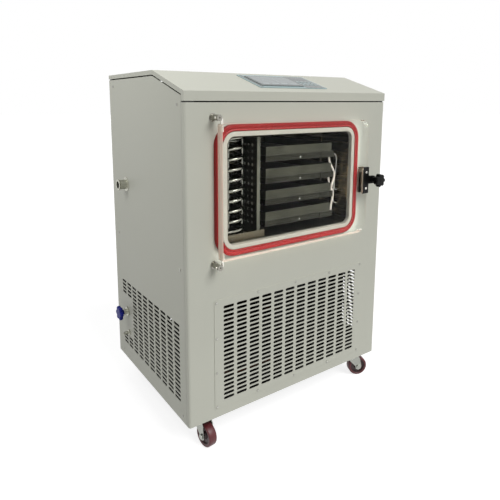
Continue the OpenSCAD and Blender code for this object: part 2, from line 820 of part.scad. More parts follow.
// Part of the chamber's section, a distance in from its walls, up to a height
module drip_section(in, right, h) {
    intersection() {
        translate([cx, cz]) rrect(mouth_w - 2*in, mouth_h - 2*in, mouth_r - in);
        translate([cx0, cz0]) square([drip_w - right, h]);
    }
}
tray_gap = 0.2;
drip_w = shelf_left - rack_gap - rack_bar - drip_clear;

// Two ladders, left and right of the shelves, joined by bars at the back
module shelf_rack() {
    b = rack_bar;
    top = shelf_z(1) + shelf_t + tray_h + 18;
    ys = [shelf_y0 + 60, shelf_y0 + shelf_d - 60];
    xs = [rack_x0, shelf_x0 + shelf_w + rack_gap];
    color([0.66, 0.66, 0.64]) {
        for (side = [0, 1]) {
            for (y = ys) translate([xs[side], y, cz0]) cube([b, b, top - cz0]);
            for (i = [1:shelf_n]) translate([side == 0 ? xs[0] : xs[1] - ledge_w, ys[0], shelf_z(i) - 3])
                cube([b + ledge_w, ys[1] - ys[0] + b, 3]);
        }
        for (z = [cz0 + 12, top - b]) translate([xs[0], ys[1], z])
            cube([xs[1] - xs[0] + b, b, b]);
    }
}
ledge_w = 10;

// Hollow heated shelf: face screw in front, fluid block with two hose stubs at the right
module shelf(i) {
    z = shelf_z(i);
    color([0.55, 0.55, 0.52]) {
        difference() {
            translate([shelf_x0, shelf_y0, z]) cube([shelf_w, shelf_d, shelf_t]);
            translate([shelf_x0 + 3, shelf_y0 + 3, z + 3])
                cube([shelf_w - 6, shelf_d - 6, shelf_t - 6]);
        }
        translate([shelf_x0 + shelf_w/2, shelf_y0, z + shelf_t/2]) rotate([90, 0, 0])
            cylinder(d = 6, h = 2);
        translate([shelf_x0 + shelf_w - block_w, shelf_y0 - 2, z - 1.5])
            cube([block_w + nozzle_reach - 1, 2, shelf_t + 1]);
        translate([shelf_x0 + shelf_w - 12, shelf_y0, z + 1])
            cube([12 + nozzle_reach, 14, shelf_t - 2]);
        translate([hose_x, hose_y, z - stub_l]) cylinder(d = 5, h = 5);
        translate([hose_x + hose_dx, hose_y + hose_dy, z + shelf_t - 4]) cylinder(d = 5, h = 3 + stub_l);
    }
}
block_w = 52;
stub_l = 1.5;
hose_x = shelf_x0 + shelf_w - 1;
hose_y = shelf_y0 + 11;
hose_dx = 7;
hose_dy = -8;

module tray(i) {
    z = shelf_z(i) + shelf_t;
    w = shelf_w - 2*tray_in;
    d = shelf_d - 12;
    color([0.5, 0.49, 0.45]) translate([shelf_x0 + tray_in, shelf_y0, z]) difference() {
        cube([w, d, tray_h]);
        translate([tray_t, tray_t, tray_t]) cube([w - 2*tray_t, d - 2*tray_t, tray_h]);
    }
}

// Routes chosen by hand, as offsets in x and y and the share of the whole drop
// Hoses run from the stub below a shelf to the stub on top of the shelf two below
hose_d = 7;
lead_d = 3;
hose_drop = 2*shelf_dz - shelf_t - 2*stub_l + 1;
hose_1 = [[0, 0, 0], [0, 0, 0.04], [1.5, -0.5, 0.13], [7, -1.5, 0.23], [13.5, -3, 0.33],
    [19, -5, 0.43], [21, -6.5, 0.54], [18.5, -7.5, 0.65], [13, -8, 0.76], [8.5, -8, 0.87],
    [hose_dx, hose_dy, 0.96], [hose_dx, hose_dy, 1]];
hose_2 = [[0, 0, 0], [0, 0, 0.04], [1.5, 0, 0.13], [7, 0, 0.23], [13.5, -0.5, 0.33],
    [19, -1, 0.43], [21, -2.5, 0.54], [18.5, -4.5, 0.65], [13, -6.5, 0.76], [8.5, -7.5, 0.87],
    [hose_dx, hose_dy, 0.96], [hose_dx, hose_dy, 1]];
// Leads run from a fluid block to the chamber's right wall, so x is a share too
lead_run = shelf_side - nozzle_reach;
lead_1 = [[0, 0, 0], [0.09, 0, 0], [0.39, 1, 0.04], [0.61, 4, 0.15], [0.67, 7, 0.29], [0.68, 9, 0.45],
    [0.66, 11, 0.61], [0.66, 13, 0.77], [0.68, 14, 0.88], [0.73, 15, 0.95], [0.81, 15, 0.99],
    [0.9, 15, 1], [1, 15, 1]];
lead_2 = [[0, 0, 0], [0.09, 0, 0], [0.32, 1, 0.06], [0.45, 3, 0.19], [0.5, 5, 0.36], [0.5, 7, 0.55],
    [0.52, 9, 0.72], [0.58, 11, 0.86], [0.69, 12.5, 0.95], [0.9, 13, 1], [1, 13, 1]];
function routed(start, route, run, drop) = [for (p = route) start + [p[0]*run, p[1], -p[2]*drop]];

module shelf_hoses() {
    color([0.93, 0.91, 0.87]) {
        tube_along(routed([hose_x, hose_y, shelf_z(1) - stub_l], hose_1, 1, hose_drop), hose_d, 8);
        tube_along(routed([hose_x, hose_y, shelf_z(2) - stub_l], hose_2, 1, hose_drop), hose_d, 8);
    }
}

module sensor_leads() {
    x = shelf_x0 + shelf_w + nozzle_reach;
    color([0.8, 0.79, 0.76]) {
        tube_along(routed([x, shelf_y0 + 9, shelf_z(1) + shelf_t/2], lead_1, lead_run, 1.92*shelf_dz),
            lead_d, 8);
        tube_along(routed([x, shelf_y0 + 11, shelf_z(2) + shelf_t/2], lead_2, lead_run, 1.62*shelf_dz),
            lead_d, 8);
    }
}

// Pipe from the chamber's drain stub down to the drain valve
module drain_pipe() {
    a = [coil_cx, coil_cy + drain_back, drain_end];
    b = [x0 + sheet_t + 18, y0 + valve_d, z0 + valve_z + 30];
    color([0.8, 0.8, 0.76]) tube_along([a, a - [0, 0, 40], a + [-40, 20, -110],
        (a + b)/2 + [-50, 10, -30], b + [10, -10, 70], b + [0, 0, 16], b], drain_d, 8);
}

// ---- door ----

module hinge_posts() {
    color([0.72, 0.72, 0.7]) for (z = [door_z0 - rod_gap, door_z1 + rod_gap]) difference() {
        union() {
            rod_out(post_x, z, 0, post_l, post_d);
            rod_out(post_x, z, 0, 3, post_d + 6);
            rod_out(post_x, z, -sheet_t, 1, 7.6);
        }
        translate([post_x - post_d, hinge_y, z]) rotate([0, 90, 0]) cylinder(d = rod_d + 0.1, h = 2*post_d);
        rod_out(post_x, z, post_l - 4, post_l + 1, 6);
    }
}

// Two L-shaped rods: through a post, round a tight bend and into the door's edge
module hinge_rods() {
    color([0.78, 0.78, 0.76]) for (s = [-1, 1]) {
        edge = s > 0 ? door_z1 : door_z0;
        translate([hinge_x, hinge_y, edge + s*rod_gap]) hinge_rod(s);
    }
}
module hinge_rod(s) {
    r = rod_bend;
    translate([-r, 0, -s*r]) rotate([90, 0, 0]) rotate([0, 0, s > 0 ? 0 : -90])
        rotate_extrude(angle = 90) translate([r, 0]) circle(d = rod_d);
    translate([post_x - post_d/2 - 2 - hinge_x, 0, 0]) rotate([0, 90, 0])
        cylinder(d = rod_d, h = hinge_x - r - (post_x - post_d/2 - 2));
    translate([0, 0, s > 0 ? -rod_gap - rod_in : r]) cylinder(d = rod_d, h = rod_gap + rod_in - r);
}

// Outline of the door, in X and Z
module door_outline() {
    w = door_x1 - door_x0;
    h = door_z1 - door_z0;
    left_r = 12;
    translate([door_x0 + left_r, door_z0]) square([w - left_r - door_r, h]);
    translate([door_x0, door_z0 + left_r]) square([left_r, h - 2*left_r]);
    translate([door_x1 - door_r, door_z0 + door_r]) square([door_r, h - 2*door_r]);
    for (z = [door_z0 + left_r, door_z1 - left_r]) translate([door_x0 + left_r, z]) circle(left_r);
    for (z = [door_z0 + door_r, door_z1 - door_r]) translate([door_x1 - door_r, z]) circle(door_r);
}

// Clear plate, its edge beside the hinge rounded so that it turns clear of the seal
module door_plate() {
    r = hinge_edge_r;
    color([0.85, 0.9, 0.88, 0.45]) difference() {
        intersection() {
            plate_xz(y0 - door_front, door_t) door_outline();
            translate([0, 0, door_z0 - 1]) linear_extrude(door_z1 - door_z0 + 2) {
                translate([door_x0 + r, y0 - door_front]) square([door_x1 - door_x0, door_t]);
                translate([door_x0, y0 - door_front + r]) square([r, door_t - 2*r]);
                for (y = [y0 - door_front + r, y0 - door_back - r]) translate([door_x0 + r, y]) circle(r);
            }
        }
        for (z = [door_z0 - 1, door_z1 - rod_in - 1])
            translate([hinge_x, hinge_y, z]) cylinder(r = rod_d/2 + run_fit, h = rod_in + 2);
        clamp_screw_places() rotate([90, 0, 0]) translate([0, 0, -1]) cylinder(d = screw_d + 0.4, h = door_t + 2);
    }
}
screw_d = 5;
module clamp_screw_places() {
    for (s = [-1, 1]) translate([door_x1 - clamp_w/2, y0 - door_back, clamp_z + s*clamp_h*0.3]) children();
}

// Black clamp plate on the door's face, with the tongue that carries the clamp screw
module clamp_plate() {
    color([0.07, 0.07, 0.07]) plate_xz(y0 - tongue_front, clamp_t) difference() {
        union() {
            translate([door_x1 - clamp_w/2, clamp_z]) rrect(clamp_w, clamp_h, 2);
            translate([door_x1 - 2, clamp_z - tongue_h/2]) square([clamp_off + 2, tongue_h]);
            translate([clamp_x, clamp_z]) circle(d = tongue_h);
        }
        translate([clamp_x, clamp_z]) circle(r = stud_d/2 + run_fit);
        for (s = [-1, 1]) translate([door_x1 - clamp_w/2, clamp_z + s*clamp_h*0.3]) circle(d = screw_d + 0.4);
    }
}

// Steel strip behind the door that the two screws pull against
module clamp_backing() {
    color([0.6, 0.59, 0.54]) plate_xz(y0 - door_back, backing_t) difference() {
        translate([door_x1 - clamp_w/2 + 1, clamp_z]) rrect(clamp_w - 6, clamp_h, 2);
        for (s = [-1, 1]) translate([door_x1 - clamp_w/2, clamp_z + s*clamp_h*0.3]) circle(d = screw_d + 0.4);
    }
}
backing_t = 3;

// Two screws with dome heads in front and nuts behind
module clamp_screws() {
    color([0.85, 0.85, 0.83]) for (s = [-1, 1]) {
        x = door_x1 - clamp_w/2;
        z = clamp_z + s*clamp_h*0.3;
        rod_out(x, z, door_back - backing_t - 4, tongue_front, screw_d);
        rod_out(x, z, tongue_front, tongue_front + 2.8, 9);
        rod_out(x, z, door_back - backing_t - 4, door_back - backing_t, 8);
    }
}

// Boss on the front sheet that the clamp screw's end goes into
module clamp_boss() {
    color([0.7, 0.7, 0.68]) difference() {
        union() {
            rod_out(clamp_x, clamp_z, 0, door_front - 0.3, boss_d);
            rod_out(clamp_x, clamp_z, 0, 3, boss_d + 8);
            rod_out(clamp_x, clamp_z, -sheet_t, 1, 9.6);
        }
        rod_out(clamp_x, clamp_z, stud_start - 2, door_front + 1, stud_d + 2*stud_gap);
    }
}

// Ribbed collar that turns loose on the clamp screw and travels with it
module clamp_collar() {
    color([0.1, 0.1, 0.1]) difference() {
        union() {
            rod_out(clamp_x, clamp_z, tongue_front, tongue_front + collar_l, 20);
            rod_out(clamp_x, clamp_z, tongue_front, tongue_front + 3, 26);
            rod_out(clamp_x, clamp_z, tongue_front + collar_l - 3, tongue_front + collar_l, 24);
        }
        rod_out(clamp_x, clamp_z, tongue_front - 1, tongue_front + collar_l + 1, stud_d + 2*run_fit);
    }
}

// Star knob moulded on its screw
module star_knob() {
    a = tongue_front + collar_l;
    lobe = 8;
    color([0.06, 0.06, 0.06]) {
        rod_out(clamp_x, clamp_z, stud_start, a + 2, stud_d);
        rod_out(clamp_x, clamp_z, a, a + hub_l + 1, 26);
        plate_xz(y0 - a - hub_l - knob_t, knob_t) translate([clamp_x, clamp_z]) difference() {
            circle(r = knob_d/2, $fn = 64);
            for (k = [0:6]) rotate(k*360/7) translate([knob_d/2 + 2.4, 0]) circle(r = lobe - 1);
        }
    }
}

// ---- refrigeration set ----

comp_x = x0 + comp_left;
comp_y = y0 + comp_front;

// Hermetic compressor: welded pot with domed ends on a footed plate
module compressor() {
    r = comp_d/2;
    color([0.12, 0.12, 0.13]) translate([comp_x, comp_y, top_deck]) {
        translate([0, 0, 18]) rotate_extrude($fn = 72) intersection() {
            union() {
                square([r, comp_h - 18 - r*0.5 - 20]);
                translate([0, comp_h - 18 - r*0.5 - 20]) intersection() {
                    square([r, r*0.5 + 20]);
                    translate([0, -r*0.3]) circle(r = r*1.0441, $fn = 96);
                }
            }
            square([r, comp_h]);
        }
        translate([0, 0, 14]) linear_extrude(5) rrect(comp_d + 30, comp_d + 30, 20);
        for (x = [-1, 1], y = [-1, 1]) translate([x*(comp_d/2 - 2), y*(comp_d/2 - 2), 0]) {
            cylinder(d = 28, h = 14);
            cylinder(d = 10, h = 24);
        }
        translate([-r - 16, -30, 70]) cube([24, 60, 60]);
        translate([r*0.6, 0, 60]) rotate([0, 90, 0]) cylinder(d = 14, h = r*0.4 + 18);
    }
}

rad_x = x0 + rad_left;
rad_y = y0 + rad_front;
rad_tubes = 6;
function rad_z(k) = top_deck + 30 + k*(rad_h - 60)/(rad_tubes - 1);

// Air-cooled condenser: finned block between two side plates
module condenser_radiator() {
    n = 22;
    pitch = (rad_w - 12)/n;
    color([0.5, 0.5, 0.5]) translate([rad_x - rad_w/2, rad_y, top_deck]) {
        cube([3, rad_t, rad_h]);
        translate([rad_w - 3, 0, 0]) cube([3, rad_t, rad_h]);
        cube([rad_w, rad_t, 3]);
        translate([0, 0, rad_h - 3]) cube([rad_w, rad_t, 3]);
        for (i = [1:n]) translate([i*pitch, 4, 3 - eps]) cube([1.2, rad_t - 8, rad_h - 6 + 2*eps]);
        for (k = [0:rad_tubes - 1]) translate([1, rad_t/2, rad_z(k) - top_deck])
            rotate([0, 90, 0]) cylinder(d = 9, h = rad_w - 2);
    }
}

fan_y = rad_y + rad_t;
fan_z = top_deck + rad_h/2;
fan_gap = 8;

// Fan motor on a four-arm bracket behind a shroud plate
module fan_motor() {
    color([0.2, 0.2, 0.2]) {
        plate_xz(fan_y, 2) difference() {
            translate([rad_x, fan_z]) square([rad_w, rad_h], center = true);
            translate([rad_x, fan_z]) circle(d = fan_d + 2*fan_gap, $fn = 96);
        }
        difference() {
            translate([rad_x, fan_y + 48, fan_z]) rotate([-90, 0, 0]) cylinder(d = 70, h = 62);
            translate([rad_x, fan_y + 47, fan_z]) rotate([-90, 0, 0])
                cylinder(r = 6 + run_fit, h = 30);
        }
        for (a = [45:90:315]) translate([rad_x, 0, fan_z]) rotate([0, a, 0]) {
            translate([33, fan_y + 60, -5]) cube([fan_d/2 + fan_gap + 6 - 33, 5, 10]);
            translate([fan_d/2 + fan_gap + 1, fan_y + 2 - eps, -5]) cube([5, 63, 10]);
        }
    }
}

// Five-blade fan with its shaft
module fan_blades() {
    color([0.75, 0.75, 0.74]) translate([rad_x, fan_y + 26, fan_z]) rotate([90, 0, 0]) {
        translate([0, 0, -14]) cylinder(d = 56, h = 28);
        translate([0, 0, -44]) cylinder(d = 12, h = 40);
        for (k = [0:4]) rotate(k*72) intersection() {
            translate([22, 0, 0]) rotate([28, 0, 0]) translate([0, -32, -1])
                cube([fan_d/2 - 22, 64, 2]);
            translate([0, 0, -18]) cylinder(d = fan_d, h = 36, $fn = 96);
        }
    }
}

// Heating fluid tank with its circulation pump
module fluid_tank() {
    cap = [tank_w/2, tank_d/2];
    pump = [tank_w + 20, pump_d/2 + 5];
    color([0.68, 0.68, 0.66]) translate([x0 + tank_left, y1 - tank_d - tank_back, top_deck]) {
        difference() {
            cube([tank_w, tank_d, tank_h]);
            translate([box_t, box_t, box_t])
                cube([tank_w - 2*box_t, tank_d - 2*box_t, tank_h - 2*box_t]);
            translate([cap[0], cap[1], tank_h - 10]) cylinder(d = 30, h = 12);
        }
        translate([cap[0], cap[1], tank_h - box_t]) cylinder(d = 44, h = 14);
        translate([pump[0], tank_d - 100, pump[1]]) rotate([-90, 0, 0]) cylinder(d = pump_d, h = 90);
        translate([tank_w - 1, tank_d - 70, 0]) cube([42, 40, 12]);
        translate([tank_w - 1, tank_d - 72, 30]) cube([22, 40, 20]);
    }
}

// Copper lines: compressor to radiator, radiator to the coil's lower end, upper end back
module copper_lines() {
    stub = [comp_x + comp_d/2 + 18, comp_y, top_deck + 60];
    feed = [rad_x - rad_w/2, rad_y + rad_t/2, rad_z(4)];
    back = [comp_x - comp_d/2 - 16, comp_y, top_deck + 100];
    leave = [rad_x - rad_w/2, rad_y + rad_t/2, rad_z(0)];
    ends = [for (e = coil_ends) [cx0 - coil_out - 0.3, e[0], e[1]]];
    out = cx0 - chamber_t - foam_t - 20;
    color([0.72, 0.45, 0.3]) {
        tube_along([stub, stub + [16, 0, 0], stub + [34, -26, 30],
            [feed[0] - 40, rad_y + rad_t + 30, feed[2] - 40], [feed[0] - 24, feed[1] + 20, feed[2]],
            [feed[0] - 10, feed[1], feed[2]], feed], 10, 8);
        tube_along([leave, leave - [30, 0, 0], [comp_x, rad_y + 20, leave[2] + 10],
            [out - 10, rad_y + 30, leave[2] + 60], [out - 10, y0 + 70, rail_z - 60],
            [out - 4, y0 + 60, rail_z + tube_w + 20], [out + 6, ends[0][1] + 6, ends[0][2] - 8],
            ends[0] - [foam_t - 6, 0, 0], ends[0]], 8, 8);
        tube_along([back, back - [20, 0, 0], [out - 20, comp_y, back[2] + 60],
            [out - 10, comp_y, rail_z - 40], [out - 10, ends[1][1] + 30, cz0 + 80],
            [out + 2, ends[1][1] + 4, ends[1][2] - 20], ends[1] - [foam_t - 6, 0, 0], ends[1]], 10, 8);
    }
}

module electric_box() {
    color([0.78, 0.78, 0.76]) translate([x0 + elec_left, y0 + elec_front, cz1 + chamber_t + foam_t]) difference() {
        cube([elec_w, elec_d, elec_h]);
        translate([box_t, box_t, box_t])
            cube([elec_w - 2*box_t, elec_d - 2*box_t, elec_h - 2*box_t]);
    }
}

// ---- side and back fittings ----

// Vacuum port: pipe from the chamber, narrowed to a clamp flange outside the left sheet
module vacuum_port() {
    color([0.8, 0.8, 0.78]) translate([x0 - port_out, y0 + port_d, z0 + port_z]) rotate([0, 90, 0]) {
        length = cx0 - chamber_t - x0 + port_out;
        step = port_out + sheet_t + 6;
        difference() {
            union() {
                cylinder(d = port_bore + 8, h = step);
                cylinder(d = port_bore + 14, h = 3);
                translate([0, 0, 3]) cylinder(d1 = port_bore + 14, d2 = port_bore + 8, h = 3);
                translate([0, 0, port_out - 2]) cylinder(d = port_bore + 26, h = 2);
                translate([0, 0, step - 4]) cylinder(d = port_pipe + 8, h = length - step + 4);
            }
            translate([0, 0, -1]) cylinder(d = port_bore, h = step + 2);
            translate([0, 0, step]) cylinder(d = port_pipe, h = length - step + 1);
        }
    }
}

// Drain valve: body inside the sheet, bonnet and ring outside
module drain_valve() {
    color([0.62, 0.63, 0.6]) translate([x0, y0 + valve_d, z0 + valve_z]) rotate([0, -90, 0]) difference() {
        union() {
            cylinder(d = 34, h = 5);
            cylinder(d = 20, h = wheel_out - 22);
            translate([0, 0, -sheet_t]) cylinder(d = 15.6, h = sheet_t);
            translate([0, 0, -sheet_t - 34]) cylinder(d = 30, h = 34);
            translate([0, 0, -sheet_t - 18]) rotate([0, 90, 0]) cylinder(d = 16, h = 60, center = true);
        }
        translate([0, 0, -sheet_t - 10]) cylinder(r = 4 + run_fit, h = 60);
    }
}

// Blue handwheel with its stem
module valve_wheel() {
    color([0.06, 0.12, 0.5]) translate([x0, y0 + valve_d, z0 + valve_z]) rotate([0, -90, 0]) {
        translate([0, 0, -sheet_t - 8]) cylinder(d = 8, h = wheel_out);
        translate([0, 0, wheel_out - 21]) cylinder(d = 18, h = 10);
        translate([0, 0, wheel_out - 14]) linear_extrude(14) difference() {
            circle(d = wheel_d, $fn = 64);
            for (k = [0:5]) rotate(k*60 + 30) translate([wheel_d/2 + 4.5, 0]) circle(r = 9);
        }
    }
}

module drain_nozzle() {
    color([0.7, 0.71, 0.68]) translate([x0, y0 + valve_d - 6, z0 + nozzle_z]) rotate([0, -90, 0]) difference() {
        union() {
            cylinder(d = 20, h = 4, $fn = 48);
            cylinder(d = 11.6, h = 24);
            translate([0, 0, -sheet_t - 18]) cylinder(d = 11.6, h = sheet_t + 18);
            translate([0, 0, -sheet_t - 18]) rotate([0, 90, 0]) cylinder(d = 11.6, h = valve_z - 30 - nozzle_z);
        }
        translate([0, 0, -sheet_t - 10]) cylinder(d = 7, h = 60);
    }
}

module cable_gland() {
    color([0.1, 0.1, 0.1]) translate([gland_x, y1, gland_z]) rotate([-90, 0, 0]) difference() {
        union() {
            cylinder(d = 30, h = 8);
            translate([0, 0, 8]) cylinder(d = 24, h = back_out - 8);
            translate([0, 0, -sheet_t - 10]) cylinder(d = 19.6, h = sheet_t + 10);
        }
        translate([0, 0, -sheet_t - 11]) cylinder(d = 11, h = back_out + 20 + sheet_t);
    }
}

// All the cabinet's panel screws: shanks, and heads in two layers with a cross in the outer one
module panel_screws() {
    reach = sheet_t + head_bite;
    cross_depth = 0.8;
    color([0.66, 0.66, 0.62]) {
        plate_xz(y0 - vent_t - head_bite, reach + vent_t) vent_screw_places() circle(d = 4);
        plate_yz(x1 - sheet_t, reach) side_screw_places() circle(d = 4);
        plate_yz(x0 - head_bite, reach) side_screw_places() circle(d = 4);
        plate_xz(y1 - sheet_t, reach) back_and_cover_places() circle(d = 4);
        for (layer = [[0, screw_head - cross_depth], [screw_head - cross_depth, cross_depth]]) {
            low = layer[0];
            t = layer[1];
            plate_xz(y0 - vent_t - low - t, t) vent_screw_places() head_outline(low > 0);
            plate_yz(x1 + low, t) side_screw_places() head_outline(low > 0);
            plate_yz(x0 - low - t, t) side_screw_places() head_outline(low > 0);
            plate_xz(y1 + low, t) back_and_cover_places() head_outline(low > 0);
        }
    }
}
module head_outline(crossed) {
    difference() {
        circle(d = pan_d);
        if (crossed) for (a = [20, 110]) rotate(a) square([pan_d*0.6, pan_d*0.14], center = true);
    }
}
module back_and_cover_places() {
    back_screw_places() children();
    cover_screw_places() children();
}

// ---- casters ----

caster_axle = 10;
fork_w = caster_w + 5;
fork_t = 3;
pin_d = 12;
plate_t = 4;
race_h = 6;
fork_top = caster_h - plate_t - race_h - 4;

function caster_at(sx, sy) = [sx*(x1 - caster_inx), sy*(y1 - caster_iny)];

// Four plates with bolt heads, each with the upper race and the swivel pin
module caster_plates() {
    color([0.62, 0.62, 0.6]) for (sx = [-1, 1], sy = [-1, 1])
        translate([caster_at(sx, sy)[0], caster_at(sx, sy)[1], 0]) {
            translate([0, 0, caster_h - plate_t]) linear_extrude(plate_t) rrect(80, 60, 6);
            translate([0, 0, caster_h - plate_t - race_h]) cylinder(d = 46, h = race_h + 1);
            translate([0, 0, fork_top - fork_t - 4]) cylinder(d = pin_d, h = caster_h - fork_top + 5);
            translate([0, 0, fork_top - fork_t - 4.3]) cylinder(d = pin_d + 6, h = 4);
            for (bx = [-1, 1], by = [-1, 1]) translate([bx*32, by*22, caster_h - plate_t - 4])
                cylinder(d = 11, h = 5);
        }
}

// Swivelling fork with its axle, turned to angle a: the wheel trails that way
module caster_fork(sx, sy, a) {
    r = caster_d/2;
    color([0.66, 0.66, 0.63]) translate([caster_at(sx, sy)[0], caster_at(sx, sy)[1], 0]) rotate(a) {
        difference() {
            union() {
                translate([0, 0, fork_top - fork_t]) linear_extrude(fork_t) {
                    circle(d = 52);
                    translate([0, -fork_w/2 - fork_t]) square([caster_trail, fork_w + 2*fork_t]);
                }
                translate([0, 0, fork_top - 1]) cylinder(d = 48, h = 4.7);
            }
            translate([0, 0, fork_top - fork_t - 1]) cylinder(r = pin_d/2 + run_fit, h = fork_t + 8);
        }
        for (s = [-1, 1]) translate([0, s*(fork_w/2 + fork_t/2) + fork_t/2, 0]) rotate([90, 0, 0])
            linear_extrude(fork_t) fork_side();
        translate([caster_trail, fork_w/2 + fork_t + 4, r]) rotate([90, 0, 0])
            cylinder(d = caster_axle, h = fork_w + 2*fork_t + 8);
        for (s = [-1, 1]) translate([caster_trail, s*(fork_w/2 + fork_t + 2) + 2, r]) rotate([90, 0, 0])
            cylinder(d = 17, h = 4);
    }
}

// Side of the fork: a plate that narrows from the swivel to the axle
module fork_side() {
    r = caster_d/2;
    polygon([[-22, fork_top - fork_t], [-20, fork_top - 10], [caster_trail - 13, r + 4],
        [caster_trail - 10, r - 8], [caster_trail, r - 13], [caster_trail + 10, r - 8],
        [caster_trail + 13, r + 2], [caster_trail + 6, fork_top - 14], [caster_trail, fork_top - fork_t],
        [caster_trail, fork_top], [-22, fork_top]]);
}

module caster_wheel(sx, sy, a) {
    r = caster_d/2;
    w = caster_w;
    color([0.3, 0.1, 0.09]) translate([caster_at(sx, sy)[0], caster_at(sx, sy)[1], 0]) rotate(a)
        translate([caster_trail, 0, r]) rotate([90, 0, 0]) rotate_extrude($fn = 96) difference() {
            translate([caster_axle/2 + run_fit, -w/2]) square([r - caster_axle/2 - run_fit, w]);
            for (s = [-1, 1]) {
                translate([r, s*w/2]) rotate(45) square(5, center = true);
                translate([13, s > 0 ? w/2 - 4 : -w/2 - 1]) square([12, 5]);
            }
        }
}

turn_fl = -84;
turn_fr = -25;
turn_rl = -40;
turn_rr = 200;

// Every node stands in the frame centred on the whole outline
module placed() {
    translate([shift_x, shift_y, 0]) children();
}

placed() base_frame();
placed() front_panel();
placed() vent_panel();
placed() side_panel_left();
placed() side_panel_right();
placed() back_panel();
placed() top_cover();
placed() control_panel();
placed() touch_screen();
placed() gauge_display();
placed() chamber();
placed() chamber_foam();
placed() door_seal();
placed() condenser_coil();
placed() coil_rods();
placed() baffle_plate();
placed() drip_tray();
placed() shelf_rack();
placed() shelf(1);  // shelf_1
placed() shelf(2);  // shelf_2
placed() shelf(3);  // shelf_3
placed() shelf(4);  // shelf_4
placed() tray(1);  // tray_1
placed() tray(2);  // tray_2
placed() tray(3);  // tray_3
placed() tray(4);  // tray_4
placed() shelf_hoses();
placed() sensor_leads();
placed() drain_pipe();
placed() hinge_posts();
placed() hinge_rods();
placed() door_plate();
placed() clamp_plate();
placed() clamp_backing();
placed() clamp_screws();
placed() clamp_boss();
placed() clamp_collar();
placed() star_knob();
placed() compressor();
placed() condenser_radiator();
placed() fan_motor();
placed() fan_blades();
placed() fluid_tank();
placed() copper_lines();
placed() electric_box();
placed() vacuum_port();
placed() drain_valve();
placed() valve_wheel();
placed() drain_nozzle();
placed() cable_gland();
placed() panel_screws();
placed() caster_plates();
placed() caster_fork(-1, -1, turn_fl);  // fork_front_left
placed() caster_fork(1, -1, turn_fr);  // fork_front_right
placed() caster_fork(-1, 1, turn_rl);  // fork_rear_left
placed() caster_fork(1, 1, turn_rr);  // fork_rear_right
placed() caster_wheel(-1, -1, turn_fl);  // wheel_front_left
placed() caster_wheel(1, -1, turn_fr);  // wheel_front_right
placed() caster_wheel(-1, 1, turn_rl);  // wheel_rear_left
placed() caster_wheel(1, 1, turn_rr);  // wheel_rear_right
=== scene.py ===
"""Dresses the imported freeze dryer: finishes for its solids, and new surfaces for what is
rounded, moulded, wound or flexible. Lengths are in metres, in the frame of the solids."""

import json
import math

import bmesh
import bpy
import numpy as np
from bpy.props import FloatProperty, FloatVectorProperty, IntProperty, PointerProperty
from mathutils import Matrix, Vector


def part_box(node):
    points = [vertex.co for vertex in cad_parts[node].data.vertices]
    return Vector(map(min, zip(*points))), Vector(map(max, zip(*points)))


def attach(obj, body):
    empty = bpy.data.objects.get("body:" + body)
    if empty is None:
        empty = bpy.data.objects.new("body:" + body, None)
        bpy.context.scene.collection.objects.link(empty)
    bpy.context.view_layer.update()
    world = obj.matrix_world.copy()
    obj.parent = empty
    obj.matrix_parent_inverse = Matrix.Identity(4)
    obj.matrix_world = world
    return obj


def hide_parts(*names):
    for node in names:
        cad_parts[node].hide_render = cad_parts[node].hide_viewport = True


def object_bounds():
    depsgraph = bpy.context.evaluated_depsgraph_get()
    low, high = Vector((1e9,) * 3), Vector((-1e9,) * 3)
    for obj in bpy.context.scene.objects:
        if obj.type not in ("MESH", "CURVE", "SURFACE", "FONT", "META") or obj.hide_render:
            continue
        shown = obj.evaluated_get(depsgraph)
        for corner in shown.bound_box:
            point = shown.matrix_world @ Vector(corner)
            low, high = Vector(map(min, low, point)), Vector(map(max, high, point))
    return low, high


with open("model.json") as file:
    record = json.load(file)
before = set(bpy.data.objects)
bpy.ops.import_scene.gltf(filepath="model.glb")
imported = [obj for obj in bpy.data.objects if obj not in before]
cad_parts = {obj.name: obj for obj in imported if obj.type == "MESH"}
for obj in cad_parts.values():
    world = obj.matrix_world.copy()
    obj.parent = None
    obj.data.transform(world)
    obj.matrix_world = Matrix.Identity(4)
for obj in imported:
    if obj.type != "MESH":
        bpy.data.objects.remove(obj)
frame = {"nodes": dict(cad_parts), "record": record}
CAD_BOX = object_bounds()

bl_info = {
    "name": "Freeze dryer",
    "version": (1, 0, 0),
    "blender": (4, 5, 0),
    "location": "View3D > Sidebar > Freeze dryer",
    "description": "Finishes and rounded pieces of a floor-standing freeze dryer",
    "category": "Object",
}

MM = 0.001
CABINET = "cabinet"
# Numbers of the shelves, from the top
SHELVES = range(1, 5)
CORNERS = ("front_left", "front_right", "rear_left", "rear_right")
UP = np.array([0.0, 0.0, 1.0])
# Axes for a shape in millimetres about Z that is to look out of the front or the left side
TO_FRONT = MM * np.array([(1, 0, 0), (0, 0, 1), (0, -1, 0)])
TO_LEFT = MM * np.array([(0, -1, 0), (0, 0, 1), (-1, 0, 0)])
# Rise of the console over its run, as in the solids
CONSOLE_SLOPE = math.atan2(66, 205)
# Pitch of the vents' rows, and the height of their slots in the solids
VENT_ROW, SLOT_HEIGHT = 14.7 * MM, 6 * MM
# Reach of the seal outside the chamber's mouth, and radius of the mouth's corners
SEAL_REACH, MOUTH_CORNER = 36 * MM, 26 * MM


# ---- numbers ----


def linear(red, green, blue):
    """Linear colour of an 8-bit sRGB colour: the power curve of the sRGB standard."""
    c = np.array([red, green, blue]) / 255.0
    return tuple(np.where(c < 0.04045, c / 12.92, ((c + 0.055) / 1.055) ** 2.4))


def span(node):
    """Lowest and highest corner of a solid, as arrays."""
    low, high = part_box(node)
    return np.array(low), np.array(high)


def middle(node):
    """Centre of a solid's box."""
    low, high = span(node)
    return (low + high) / 2


